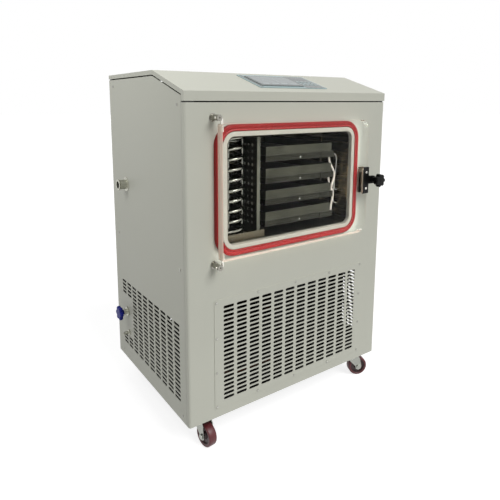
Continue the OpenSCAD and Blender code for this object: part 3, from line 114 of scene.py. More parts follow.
def unit(v):
    """Vectors along the last axis, each divided by its length."""
    return v / np.linalg.norm(v, axis=-1, keepdims=True)


# ---- shapes: a grid of points over two parameters, joined by quads ----


def grid_quads(rows, columns, wrap_rows, wrap_columns):
    """Corner numbers of the quads between neighbouring rows and columns of a grid. A wrapped
    direction joins its last line to its first."""
    i = np.arange(rows if wrap_rows else rows - 1)[:, None]
    j = np.arange(columns if wrap_columns else columns - 1)[None, :]
    i2, j2 = (i + 1) % rows, (j + 1) % columns
    corners = (i * columns + j, i2 * columns + j, i2 * columns + j2, i * columns + j2)
    return np.stack(np.broadcast_arrays(*corners), axis=-1).reshape(-1, 4).tolist()


def place_piece(name, mesh, finish, body, node, sharp):
    """Object of a mesh with a finish, smooth up to an edge angle in degrees. It rides on a
    body, and stands for a solid where one is named."""
    mesh.name = name
    mesh.materials.clear()
    mesh.materials.append(material_of(finish))
    mesh.shade_smooth()
    mesh.set_sharp_from_angle(angle=math.radians(sharp))
    piece = bpy.data.objects.new(name, mesh)
    bpy.context.collection.objects.link(piece)
    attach(piece, body)
    if node:
        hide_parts(node)
    return piece


def make_piece(name, shape, finish, body=CABINET, node=None, sharp=35):
    """Piece of a shape's points and faces, its faces turned outwards."""
    points, faces = shape
    mesh = bpy.data.meshes.new(name)
    mesh.from_pydata(points.reshape(-1, 3).tolist(), [], faces)
    bm = bmesh.new()
    bm.from_mesh(mesh)
    bmesh.ops.remove_doubles(bm, verts=bm.verts, dist=1e-7)
    bmesh.ops.recalc_face_normals(bm, faces=bm.faces)
    bm.to_mesh(mesh)
    bm.free()
    return place_piece(name, mesh, finish, body, node, sharp)


def join_shapes(shapes):
    """Points and faces of several (points, faces) shapes in one list."""
    points, faces, base = [], [], 0
    for p, f in shapes:
        points.append(p.reshape(-1, 3))
        faces += [[c + base for c in face] for face in f]
        base += len(points[-1])
    return np.concatenate(points), faces


def revolved(profile, sides, closed=True):
    """Surface of revolution about Z: radius and height along the profile, times the cosine
    and sine of an angle that runs round. A closed profile joins its last point to its first."""
    profile = np.asarray(profile, float)
    angle = np.linspace(0, 2 * math.pi, sides, endpoint=False)[None, :]
    radius, height = profile[:, :1], profile[:, 1:]
    points = np.broadcast_arrays(radius * np.cos(angle), radius * np.sin(angle), height)
    return np.stack(points, axis=-1), grid_quads(len(profile), sides, closed, True)


def capped(points):
    """A grid of points as a shape that is round along its columns, with its first and last
    row closed by one face each."""
    rows, columns = points.shape[:2]
    last = (rows - 1) * columns
    faces = grid_quads(rows, columns, False, True)
    return points, faces + [list(range(columns)), list(range(last, last + columns))]


def turned(shape, axes, origin):
    """A shape laid on other axes: each point is the sum of its coordinates times the axes."""
    points, faces = shape
    return points.reshape(-1, 3) @ axes + origin, faces


def swept_tube(path, radius, sides, reference=UP):
    """Round tube along a path: at each point a circle in the plane square to the path, turned
    by the cross product of the path's direction with a reference direction."""
    ahead = unit(np.gradient(path, axis=0))
    side = unit(np.cross(ahead, reference))
    over = np.cross(ahead, side)
    angle = np.linspace(0, 2 * math.pi, sides, endpoint=False)[None, :, None]
    ring = np.cos(angle) * side[:, None] + np.sin(angle) * over[:, None]
    return capped(path[:, None] + radius * ring)


def smooth_route(p, steps):
    """Curve through points at uneven distances: a cubic between each pair, its slope at a
    point the difference of the point's neighbours over the length between them."""
    reach = np.concatenate([[0], np.cumsum(np.linalg.norm(np.diff(p, axis=0), axis=1))])
    slope = np.gradient(p, reach, axis=0)
    step = np.diff(reach)[:, None, None]
    t = (np.arange(steps) / steps)[None, :, None]
    curve = (
        (2 * t**3 - 3 * t**2 + 1) * p[:-1, None] + (t**3 - 2 * t**2 + t) * slope[:-1, None] * step
        + (3 * t**2 - 2 * t**3) * p[1:, None] + (t**3 - t**2) * slope[1:, None] * step
    )
    return np.vstack([curve.reshape(-1, 3), p[-1:]])


def round_rectangle(width, height, radius, steps):
    """Points and outward directions round a rectangle with round corners, in X and Z: four
    quarter circles about the corner centres."""
    angle = np.linspace(0, math.pi / 2, steps + 1)[None, :] + (np.arange(4) * math.pi / 2)[:, None]
    out = np.stack([np.cos(angle), np.sin(angle)], axis=-1)
    signs = np.array([[1, 1], [-1, 1], [-1, -1], [1, -1]])[:, None]
    centre = signs * np.array([width / 2 - radius, height / 2 - radius])
    return (centre + radius * out).reshape(-1, 2), out.reshape(-1, 2)


def mouth():
    """Width, height and centre of the chamber's mouth, from the seal's box: the seal's outer
    edge lies a known distance outside the mouth."""
    low, high = span("door_seal")
    return high[0] - low[0] - 2 * SEAL_REACH, high[2] - low[2] - 2 * SEAL_REACH, (low + high) / 2


def framed_bead(profile):
    """A closed section in millimetres carried round the chamber's mouth. Its first number is
    the distance outwards from the mouth's edge, its second the distance before the sheet."""
    width, height, centre = mouth()
    loop, out = round_rectangle(width, height, MOUTH_CORNER, 14)
    section = np.array(profile) * MM
    flat = loop[:, None] + section[None, :, :1] * out[:, None] + centre[[0, 2]]
    y = np.broadcast_to(span("front_panel")[0][1] - section[:, 1], flat.shape[:2])
    points = np.stack([flat[..., 0], y, flat[..., 1]], axis=-1)
    return points, grid_quads(len(loop), len(section), True, True)


def arc(centre, radius, start, end, steps=5):
    """Points on an arc: the centre plus the radius times the cosine and sine of an angle that
    runs from one value in degrees to another."""
    angle = np.radians(np.linspace(start, end, steps + 1))
    return (centre + radius * np.stack([np.cos(angle), np.sin(angle)], axis=-1)).tolist()


def box_shape(low, high):
    """Block between two corners."""
    x, y, z = np.meshgrid([low[0], high[0]], [low[1], high[1]], [low[2], high[2]], indexing="ij")
    points = np.stack([x, y, z], axis=-1).reshape(-1, 3)
    faces = [[0, 1, 3, 2], [4, 6, 7, 5], [0, 4, 5, 1], [2, 3, 7, 6], [0, 2, 6, 4], [1, 5, 7, 3]]
    return points, faces


def refined(node, finish, edge=0, body=CABINET, segments=2):
    """Copy of a solid with its triangles joined into flat faces and its edges rounded, which
    then stands for the solid."""
    mesh = frame["nodes"][node].data.copy()
    bm = bmesh.new()
    bm.from_mesh(mesh)
    bmesh.ops.remove_doubles(bm, verts=bm.verts, dist=2e-6)
    bmesh.ops.dissolve_limit(
        bm, angle_limit=math.radians(0.6), verts=bm.verts, edges=bm.edges,
        use_dissolve_boundaries=False,
    )
    bm.to_mesh(mesh)
    bm.free()
    piece = place_piece(f"{node}_dressed", mesh, finish, body, node, 30)
    if edge:
        bevel = piece.modifiers.new("Rounded edges", "BEVEL")
        bevel.width = edge
        bevel.segments = segments
        bevel.limit_method = "ANGLE"
        bevel.angle_limit = math.radians(32)
        bevel.harden_normals = True
        bevel.use_clamp_overlap = True
    return piece


def finish_node(node, finish):
    """Gives a solid that stays as it is another material. Returns the solid."""
    solid = frame["nodes"][node]
    solid.data.materials.clear()
    solid.data.materials.append(material_of(finish))
    return solid


def finish_side(piece, direction, finish):
    """Gives the faces that look in a direction a finish of their own."""
    mesh = piece.data
    normals = np.empty(len(mesh.polygons) * 3, np.float32)
    mesh.polygons.foreach_get("normal", normals)
    chosen = normals.reshape(-1, 3) @ np.array(direction, float) > 0.9
    mesh.materials.append(material_of(finish))
    mesh.polygons.foreach_set("material_index", chosen.astype(np.int32))


def slotted_sheet(node, across, first, column, length, shown):
    """Painted copy of a sheet with taller and longer slots. Each point on a slot's outline
    keeps its place on it: its distance from the middle line grows with the slot's height, and
    the half circles at the ends move out to the length shown. Across is the axis along the
    slots, first the middle of the lowest slot of the first column."""
    piece = refined(node, "paint")
    place = np.empty(len(piece.data.vertices) * 3, np.float32)
    piece.data.vertices.foreach_get("co", place)
    place = place.reshape(-1, 3).astype(float)
    flat, pitch = place[:, [across, 2]], np.array([column, VENT_ROW])
    centre = first + pitch * np.round((flat - first) / pitch)
    off = flat - centre
    old = np.array([length, SLOT_HEIGHT]) / 2
    new = np.array([shown, settings().cabinet.slot]) / 2
    end = np.maximum(np.abs(off[:, 0]) - old[0] + old[1], 0)
    on_slot = np.abs(np.hypot(end, off[:, 1]) - old[1]) < 0.02 * MM
    grown = new[1] / old[1]
    along = np.sign(off[:, 0]) * (new[0] - new[1] + end * grown)
    moved = centre + np.stack([along, off[:, 1] * grown], axis=-1)
    place[:, [across, 2]] = np.where(on_slot[:, None], moved, flat)
    piece.data.vertices.foreach_set("co", place.astype(np.float32).ravel())
    piece.data.update()
    return piece


# ---- shader groups: each gives a value or a normal that changes over the surface ----


def new_node(tree, kind, values=None):
    """Shader node whose inputs, by name or number, are linked to sockets or set to values."""
    node = tree.nodes.new(f"ShaderNode{kind}")
    for label, value in (values or {}).items():
        if isinstance(value, bpy.types.NodeSocket):
            tree.links.new(value, node.inputs[label])
        else:
            node.inputs[label].default_value = value
    return node


def math_node(tree, operation, *terms, clamp=False):
    """Math node with linked or plain terms. Returns its output."""
    node = new_node(tree, "Math", dict(enumerate(terms)))
    node.operation = operation
    node.use_clamp = clamp
    return node.outputs[0]


def noise_node(tree, vector, scale, detail, roughness=0.5):
    """Noise texture on a vector. Scale is a number or a socket."""
    values = {"Vector": vector, "Scale": scale, "Detail": detail, "Roughness": roughness}
    return new_node(tree, "TexNoise", values).outputs["Fac"]


def mix_node(tree, factor, first, second):
    """Mix of the shaders of two nodes: the second one where the factor is 1."""
    return new_node(tree, "MixShader", {0: factor, 1: first.outputs[0], 2: second.outputs[0]})


def relief_group(name, inputs, outputs, relief):
    """Shader group with inputs by name and default, outputs for values, and a normal bent by
    a Bump node of a relief in metres. Returns the group, its inside sockets, the place on the
    object, and the socket of the height."""
    group = bpy.data.node_groups.new(name, "ShaderNodeTree")
    for label, default in inputs.items():
        kind = "NodeSocketVector" if isinstance(default, tuple) else "NodeSocketFloat"
        socket = group.interface.new_socket(name=label, in_out="INPUT", socket_type=kind)
        socket.default_value = default
    for label in outputs:
        group.interface.new_socket(name=label, in_out="OUTPUT", socket_type="NodeSocketFloat")
    group.interface.new_socket(name="Normal", in_out="OUTPUT", socket_type="NodeSocketVector")
    given = group.nodes.new("NodeGroupInput").outputs
    result = group.nodes.new("NodeGroupOutput").inputs
    bump = new_node(group, "Bump", {"Distance": relief, "Strength": given["Depth"]})
    group.links.new(bump.outputs["Normal"], result["Normal"])
    return group, given, result, new_node(group, "TexCoord").outputs["Object"], bump.inputs["Height"]


def build_skin_group():
    """Orange peel of a sprayed or moulded skin: fine noise as bump, and wide faint blotches
    as a value about 0.5."""
    inputs = {"Grain per metre": 900.0, "Depth": 0.05, "Blotch per metre": 5.0}
    group, given, result, place, height = relief_group("Skin texture", inputs, ["Blotch"], 0.4 * MM)
    group.links.new(noise_node(group, place, given["Grain per metre"], 2.0), height)
    group.links.new(noise_node(group, place, given["Blotch per metre"], 4.0, 0.6), result["Blotch"])
    return group


def build_brushed_group():
    """Lines of a brushed sheet: noise stretched along one direction, as a value and a bump,
    with wider stains as a second value."""
    inputs = {"Stretch": (4.0, 700.0, 700.0), "Depth": 0.06}
    group, given, result, place, height = relief_group(
        "Brushed lines", inputs, ["Lines", "Stain"], 0.3 * MM
    )
    stretch = new_node(group, "VectorMath", {0: place, 1: given["Stretch"]})
    stretch.operation = "MULTIPLY"
    lines = noise_node(group, stretch.outputs[0], 1.0, 4.0, 0.7)
    group.links.new(lines, height)
    group.links.new(lines, result["Lines"])
    group.links.new(noise_node(group, place, 14.0, 5.0, 0.65), result["Stain"])
    return group


SKIN = build_skin_group()
BRUSHED = build_brushed_group()


# ---- materials ----


def settings():
    """The add-on's settings on the scene."""
    return bpy.context.scene.freeze_dryer


# Range of the noise over which tone and roughness vary
NOISE_RANGE = (0.3, 0.7)


def new_material(name, colour, values):
    """Material with a Principled shader and plain values by socket. Returns the material, its
    tree and the shader."""
    material = bpy.data.materials.new(name)
    material.use_nodes = True
    tree = material.node_tree
    shader = tree.nodes["Principled BSDF"]
    shader.inputs["Base Color"].default_value = (*colour, 1.0)
    for label, value in values.items():
        shader.inputs[label].default_value = value
    material.diffuse_color = (*colour, 1.0)
    return material, tree, shader


def textured(name, colour, values, group, inputs, tone, contrast, sheen, spread):
    """Material whose tone and roughness vary over the surface. A ramp runs from a darker to a
    lighter tone by one output of a shader group, and the roughness between two shares of its
    value by another. The colour is three 8-bit numbers or names a setting."""
    if isinstance(colour, str):
        part, field = colour.split(".")
        colour = getattr(getattr(settings(), part), field)
    else:
        colour = linear(*colour)
    material, tree, shader = new_material(name, colour, values)
    node = new_node(tree, "Group")
    node.node_tree = group
    for label, value in inputs.items():
        node.inputs[label].default_value = value
    ramp = new_node(tree, "ValToRGB", {"Fac": node.outputs[tone]})
    for stop, share, place in zip(ramp.color_ramp.elements, (1 - contrast, 1 + contrast), NOISE_RANGE):
        stop.position = place
        stop.color = (*(np.array(colour) * share), 1.0)
    labels = ("From Min", "From Max", "To Min", "To Max")
    ends = (*NOISE_RANGE, *(values["Roughness"] * share for share in spread))
    rough = new_node(tree, "MapRange", {"Value": node.outputs[sheen], **dict(zip(labels, ends))})
    tree.links.new(ramp.outputs["Color"], shader.inputs["Base Color"])
    tree.links.new(rough.outputs["Result"], shader.inputs["Roughness"])
    tree.links.new(node.outputs["Normal"], shader.inputs["Normal"])
    return material


def skin_material(name, colour, roughness, grain, depth, contrast, blotch, specular=0.5, metallic=0.0):
    """Paint, rubber or plastic: a plain colour with faint blotches and a fine grain."""
    values = {"Roughness": roughness, "Specular IOR Level": specular, "Metallic": metallic}
    inputs = {"Grain per metre": grain, "Depth": depth, "Blotch per metre": blotch}
    return textured(name, colour, values, SKIN, inputs, "Blotch", contrast, "Blotch", (0.9, 1.1))


def metal_material(name, colour, roughness, stretch, depth, contrast):
    """Brushed or rolled metal: lines along one direction and wide faint stains."""
    values = {"Roughness": roughness, "Metallic": 1.0}
    inputs = {"Stretch": stretch, "Depth": depth}
    return textured(name, colour, values, BRUSHED, inputs, "Stain", contrast, "Lines", (0.75, 1.3))


def clear_material():
    """Clear acrylic: a transmitting Principled shader that lets light through to what is
    behind it, and a matt pale one on the ground edges, where the normal leaves Y. Seen from
    inside the plate, the edges that look along X are clear."""
    door = settings().door
    glass = {
        "Roughness": 0.0, "IOR": door.ior, "Transmission Weight": 1.0,
        "Specular Tint": (0.25, 0.25, 0.25, 1.0),
    }
    material, tree, shader = new_material("Clear acrylic", door.tint, glass)
    through = new_node(tree, "BsdfTransparent", {"Color": (0.95, 0.96, 0.95, 1.0)})
    ground = {"Base Color": (*door.ground, 1.0), "Roughness": 0.6, "Transmission Weight": 0.3}
    matt = new_node(tree, "BsdfPrincipled", ground)
    normal = new_node(tree, "TexCoord").outputs["Normal"]
    facing = new_node(tree, "SeparateXYZ", {0: normal}).outputs
    along = math_node(tree, "LESS_THAN", math_node(tree, "ABSOLUTE", facing["Y"]), 0.95)
    across = math_node(tree, "GREATER_THAN", math_node(tree, "ABSOLUTE", facing["X"]), 0.5)
    inner = new_node(tree, "NewGeometry").outputs["Backfacing"]
    unseen = math_node(tree, "MULTIPLY", across, inner)
    shown = math_node(tree, "SUBTRACT", along, unseen, clamp=True)
    shadow = new_node(tree, "LightPath").outputs["Is Shadow Ray"]
    plate = mix_node(tree, shadow, mix_node(tree, shown, shader, matt), through)
    tree.links.new(plate.outputs[0], tree.nodes["Material Output"].inputs["Surface"])
    return material


# Paints, rubbers and plastics: name, colour in 8 bits or its setting, roughness, grains per
# metre, their depth, contrast of the blotches, blotches per metre, reflection, metal
SKINS = {
    "paint": ("Powder paint", "cabinet.paint", 0.5, 700, 0.1, 0.02, 3, 0.25),
    # Near black painted shade for the sheets' inward faces, whose real paint matches the outside
    "inner_coat": ("Painted inner shade", (30, 30, 28), 0.6, 500, 0.1, 0.06, 12, 0.2),
    # The frame is near black as painted shade for what shows through the vents, not its own paint colour
    "frame": ("Frame darkened as painted shade", (26, 26, 25), 0.5, 500, 0.1, 0.06, 12),
    "blasted": ("Blasted rim", "chamber.rim", 0.55, 1500, 0.12, 0.04, 9, 0.5, 0.25),
    "seal": ("Seal rubber", "chamber.seal", 0.5, 500, 0.06, 0.06, 20, 0.3),
    "foam": ("Foam", (228, 214, 170), 0.95, 260, 0.6, 0.08, 30),
    "hose": ("Silicone hose", (216, 204, 192), 0.4, 300, 0.04, 0.03, 30),
    "lead": ("Sensor lead", (196, 192, 184), 0.45, 300, 0.04, 0.04, 30),
    "black": ("Black moulding", (8, 8, 7), 0.36, 900, 0.14, 0.12, 30, 0.12),
    "black_metal": ("Black enamel", (11, 11, 10), 0.35, 400, 0.08, 0.1, 20, 0.15),
    "blue": ("Blue moulding", "fittings.wheel_colour", 0.45, 700, 0.1, 0.08, 40, 0.2),
    "grey_plastic": ("Grey moulding", (150, 151, 148), 0.45, 700, 0.1, 0.05, 30),
    "tread": ("Wheel tread", "casters.tread", 0.42, 500, 0.1, 0.12, 60),
    "hub": ("Wheel hub", "casters.hub", 0.4, 600, 0.1, 0.08, 60),
    "film": ("Panel film", "console.film", 0.25, 900, 0.02, 0.02, 20),
    "film_dark": ("Panel field", "console.field", 0.22, 900, 0.02, 0.03, 20),
    "screen": ("Screen glass", "console.screen", 0.12, 900, 0, 0.03, 12),
    "ink_light": ("Pale print", (146, 156, 157), 0.25, 900, 0.02, 0.02, 20),
    "ink_dark": ("Dark print", (70, 78, 84), 0.2, 900, 0.02, 0.02, 20),
}
# Metals: name, colour in 8 bits or its setting, roughness, lines per metre along each axis,
# their depth, contrast of the stains
METALS = {
    # Chamber steel is darkened below bare steel as painted shade for the chamber's dark inside; the rack,
    # boss and tank share it
    "steel": ("Chamber steel", "chamber.steel", 0.34, (500, 3, 500), 0.05, 0.08),
    # Lighter copy of the chamber steel on the faces that look along -X, as painted reflection on the right
    # wall
    "wall": ("Chamber side wall, painted reflection", (170, 156, 126), 0.24, (500, 3, 500), 0.06, 0.3),
    # Trays and shelves are darkened below bare steel as painted shade for the chamber's dark inside
    "steel_x": ("Tray steel", (78, 77, 67), 0.34, (3, 500, 500), 0.06, 0.3),
    "shelf": ("Shelf metal", (56, 55, 48), 0.3, (3, 400, 600), 0.06, 0.3),
    "polished": ("Polished steel", (150, 148, 140), 0.13, (60, 60, 60), 0.01, 0.04),
    # Lighter copy of the polished steel, as painted highlight on rods and screws
    "bright": ("Steel lightened as painted highlight", (222, 220, 212), 0.16, (60, 60, 60), 0.01, 0.05),
    "coil": ("Coil tube", (150, 148, 138), 0.12, (90, 90, 90), 0.02, 0.06),
    # Lighter metal for the baffle's forward faces, as painted light on the side facing the door
    "flange": ("Baffle front, painted light", (108, 107, 96), 0.3, (300, 300, 4), 0.05, 0.2),
    "drip": ("Drip tray steel", (112, 104, 88), 0.4, (3, 500, 500), 0.06, 0.2),
    "baffle": ("Baffle sheet", (70, 68, 60), 0.36, (500, 3, 500), 0.05, 0.2),
    "zinc": ("Zinc plate", (158, 160, 153), 0.22, (40, 40, 40), 0.04, 0.14),
    "clamp_steel": ("Clamp steel", (206, 200, 184), 0.4, (300, 300, 4), 0.05, 0.1),
    "screw": ("Screw steel", (170, 170, 164), 0.3, (300, 300, 300), 0.04, 0.1),
    "valve": ("Valve metal", (172, 172, 160), 0.34, (120, 120, 120), 0.06, 0.1),
    # Copper and fins are darkened below their bare metal as painted shade for the cabinet's dark inside
    "copper": ("Copper tube darkened as painted shade", (74, 48, 36), 0.3, (60, 60, 60), 0.04, 0.15),
    "fins": ("Fin aluminium darkened as painted shade", (70, 71, 71), 0.4, (300, 4, 4), 0.04, 0.1),
}
MATERIALS = {}


def material_of(finish):
    """One of the finishes, built at its first use."""
    if finish not in MATERIALS:
        if finish == "clear":
            MATERIALS[finish] = clear_material()
        elif finish in METALS:
            MATERIALS[finish] = metal_material(*METALS[finish])
        else:
            MATERIALS[finish] = skin_material(*SKINS[finish])
    return MATERIALS[finish]


# ---- settings ----


def colour_setting(label, description, value):
    """Colour property, linear, with its default."""
    return FloatVectorProperty(
        name=label, description=description, default=value, size=3, min=0.0, max=1.0, subtype="COLOR"
    )


def length_setting(label, description, value, low, high):
    """Length property in metres."""
    return FloatProperty(
        name=label, description=description, default=value, min=low, max=high, unit="LENGTH", precision=4
    )


def number_setting(kind, label, description, value, low, high):
    """Plain number or count."""
    return kind(name=label, description=description, default=value, min=low, max=high)


class CabinetSettings(bpy.types.PropertyGroup):
    paint: colour_setting("Paint", "Colour of the painted sheets", linear(194, 195, 183))
    fold: length_setting("Fold radius", "Rounding of the cover's folded edges", 0.0022, 0.0005, 0.005)
    slot: length_setting("Slot height", "Height of the vent slots", 0.0096, 0.006, 0.011)


class ConsoleSettings(bpy.types.PropertyGroup):
    film: colour_setting("Film", "Border of the control panel", linear(138, 162, 163))
    field: colour_setting("Field", "Inner field of the control panel", linear(86, 94, 91))
    screen: colour_setting("Screen", "Glass of the touch screen", linear(112, 122, 122))


class ChamberSettings(bpy.types.PropertyGroup):
    # Steel darkened as painted shade for the chamber's dark inside
    steel: colour_setting("Steel", "Colour of the chamber's steel", linear(72, 67, 54))
    rim: colour_setting("Rim", "Colour of the blasted rim", linear(170, 164, 153))
    seal: colour_setting("Seal", "Colour of the door seal", linear(142, 25, 25))
    rim_lift: length_setting("Rim lift", "How far the dressed rim stands on the solid", 0.0003, 0.0001, 0.001)


class CoilSettings(bpy.types.PropertyGroup):
    sides: number_setting(IntProperty, "Sides", "Facets round the coil's tube", 20, 8, 48)
    steps: number_setting(IntProperty, "Steps", "Rings in one turn of the coil", 48, 16, 96)


class DoorSettings(bpy.types.PropertyGroup):
    tint: colour_setting("Tint", "Colour of the clear door", (0.97, 0.985, 0.975))
    ground: colour_setting("Ground edge", "Colour of the door's ground edges", linear(226, 210, 192))
    ior: number_setting(FloatProperty, "Refraction", "Refractive index of the door", 1.18, 1.0, 2.0)
    edge: length_setting("Edge", "Chamfer of the door's edges", 0.0012, 0.0002, 0.004)


class ClampSettings(bpy.types.PropertyGroup):
    lobes: number_setting(IntProperty, "Lobes", "Lobes of the star knob", 7, 3, 12)
    lobe_depth: length_setting("Lobe depth", "Depth of the hollows between lobes", 0.0052, 0.001, 0.01)


class FittingsSettings(bpy.types.PropertyGroup):
    wheel_colour: colour_setting("Handwheel", "Colour of the valve's handwheel", linear(12, 22, 116))
    wheel_lobes: number_setting(IntProperty, "Wheel lobes", "Lobes of the handwheel", 6, 3, 10)


class CasterSettings(bpy.types.PropertyGroup):
    tread: colour_setting("Tread", "Colour of the wheels' tread", linear(88, 30, 34))
    hub: colour_setting("Hub", "Colour of the wheels' hubs", linear(54, 31, 31))


class StageSettings(bpy.types.PropertyGroup):
    sky: number_setting(FloatProperty, "Sky", "Strength of the even light from all sides", 0.36, 0, 4)
    key: number_setting(FloatProperty, "Key", "Strength of the lamp from the upper front right", 0.65, 0, 10)
    panel: number_setting(FloatProperty, "Panel", "Watts of the square lamp high on the left", 8, 0, 200)


class DryerSettings(bpy.types.PropertyGroup):
    cabinet: PointerProperty(type=CabinetSettings)
    console: PointerProperty(type=ConsoleSettings)
    chamber: PointerProperty(type=ChamberSettings)
    coil: PointerProperty(type=CoilSettings)
    door: PointerProperty(type=DoorSettings)
    clamp: PointerProperty(type=ClampSettings)
    fittings: PointerProperty(type=FittingsSettings)
    casters: PointerProperty(type=CasterSettings)
    stage: PointerProperty(type=StageSettings)


# ---- pieces ----


class DRYER_OT_cabinet(bpy.types.Operator):
    """Paints the sheets and the frame, and rounds the folds of the top cover. The sheets' inward faces are
    near black as painted shade, and the frame is near black as painted shade
    """

    bl_idname = "dryer.cabinet"
    bl_label = "Cabinet"

    def execute(self, context):
        # The inward faces of the sheets get a near black painted shade that stands for the cabinet's dark
        # inside
        for node, inward in (
            ("front_panel", (0, 1, 0)), ("back_panel", (0, -1, 0)), ("side_panel_right", (-1, 0, 0)),
        ):
            finish_side(finish_node(node, "paint"), inward, "inner_coat")
        columns, rows, front_column, side_column = 12, 22, 50 * MM, 49 * MM
        reach = [(columns - 1) / 2 * front_column, (rows - 1) / 2 * VENT_ROW]
        first = middle("vent_panel")[[0, 2]] - reach
        sheet = slotted_sheet("vent_panel", 0, first, front_column, 38 * MM, 39.5 * MM)
        finish_side(sheet, (0, 1, 0), "inner_coat")
        first = span("front_panel")[0][1:] + [75 * MM, 65 * MM]
        sheet = slotted_sheet("side_panel_left", 1, first, side_column, 34 * MM, 39 * MM)
        finish_side(sheet, (1, 0, 0), "inner_coat")
        # The frame is near black as painted shade
        finish_node("base_frame", "frame")
        refined("top_cover", "paint", settings().cabinet.fold, segments=4)
        return {"FINISHED"}


def panel_length():
    """Length of the control panel up the slope, from its box and its thickness."""
    (low, high), thickness = span("control_panel"), 2 * MM
    return (high[2] - low[2] - thickness * math.cos(CONSOLE_SLOPE)) / math.sin(CONSOLE_SLOPE)


# Bottom and top of what lies on the control panel, over the panel's foot
FIELD, GLASS = (1.9 * MM, 2.4 * MM), (3.9 * MM, 4.3 * MM)
BAR, KEY = (4.2 * MM, 4.36 * MM), (2.3 * MM, 2.8 * MM)


def slope_plate(x, s, n):
    """Block on the console's slope between pairs of values: x as in the cabinet, s up the
    slope and n square to it, both from the control panel's lower front edge."""
    low, high = span("control_panel")
    run, rise = math.cos(CONSOLE_SLOPE), math.sin(CONSOLE_SLOPE)
    origin = np.array([0, high[1] - run * panel_length(), low[2]])
    return turned(box_shape(*zip(x, s, n)), np.array([(1, 0, 0), (0, run, rise), (0, -rise, run)]), origin)


class DRYER_OT_console(bpy.types.Operator):
    """Lays the printed film, the fields of colour and the screen's glass on the console"""

    bl_idname = "dryer.console"
    bl_label = "Console"

    def execute(self, context):
        low, high = span("control_panel")
        screen_low, screen_high = span("touch_screen")
        length, border, gap = panel_length(), 7 * MM, 2 * MM
        finish_node("control_panel", "film")
        refined("touch_screen", "film_dark", 0.8 * MM)
        refined("gauge_display", "ink_dark", 0.5 * MM)
        upward = (border, length - border)
        right = slope_plate((screen_high[0] + gap, high[0] - border), upward, FIELD)
        left = slope_plate((low[0] + border, screen_low[0] - gap), upward, FIELD)
        make_piece("panel_fields", join_shapes([right, left]), "film_dark")
        bezel, margin = 8 * MM, 28 * MM
        left_x, right_x = screen_low[0] + bezel, screen_high[0] - bezel
        glass = slope_plate((left_x, right_x), (margin, length - margin), GLASS)
        make_piece("screen_glass", glass, "screen")
        # Bars on the glass: shares of its width, and millimetres up the slope
        bars = [
            slope_plate(left_x + (right_x - left_x) * np.array(x), np.array(s) * MM, BAR)
            for x, s in (
                ((0.04, 0.96), (111, 113)), ((0.06, 0.22), (36, 46)), ((0.30, 0.46), (36, 46)),
                ((0.54, 0.70), (36, 46)), ((0.78, 0.94), (36, 46)), ((0.06, 0.44), (58, 60)),
                ((0.06, 0.38), (68, 70)), ((0.06, 0.42), (78, 80)), ((0.06, 0.30), (88, 90)),
                ((0.56, 0.94), (60, 62)), ((0.56, 0.575), (60, 100)),
            )
        ]
        make_piece("screen_print", join_shapes(bars), "ink_light")
        keys, pitch, width, height = [], 18 * MM, 13 * MM, 9 * MM
        corner = np.array([span("gauge_display")[0][0], 34 * MM])
        for place in np.ndindex(4, 3):
            x, s = corner + pitch * np.array(place)
            keys.append(slope_plate((x, x + width), (s, s + height), KEY))
        make_piece("panel_keys", join_shapes(keys), "film")
        return {"FINISHED"}


class DRYER_OT_chamber(bpy.types.Operator):
    """Finishes the chamber and its foam, and lays the blasted rim and the red seal round the
    mouth"""

    bl_idname = "dryer.chamber"
    bl_label = "Chamber"

    def execute(self, context):
        # The chamber's steel is darkened as painted shade, and the faces that look along -X take a lighter
        # copy as painted reflection
        finish_side(finish_node("chamber", "steel"), (-1, 0, 0), "wall")
        finish_node("chamber_foam", "foam")
        lift = settings().chamber.rim_lift / MM
        # Millimetres out from the mouth's edge and forward from the sheet
        top, width, fold = 14.2 + lift, 16, 2.2
        rim = [
            (-lift, 2), *arc((fold - lift, top - fold), fold, 180, 90),
            *arc((width - fold, top - fold), fold, 90, 0), (width, 7), (12, 7), (1, 2),
        ]
        make_piece("mouth_rim", framed_bead(rim), "blasted")
        inner, outer, body, bead, lip = 16.15, SEAL_REACH / MM, 15.4, 16.2, 2.4
        seal = [
            (inner, 6.1), (inner, bead - lip), *arc((inner + lip, bead - lip), lip, 180, 60, 7),
            (21.6, 14.0), (22.8, 13.6), (24, 14.2), *arc((29, body - 5), 5, 110, 90, 3),
            *arc((outer - 4, body - 4), 4, 80, 0, 7), (outer, 0.05), (28.2, 0.05), (28.2, 6.1),
        ]
        make_piece("seal_ring", framed_bead(seal), "seal", node="door_seal")
        return {"FINISHED"}


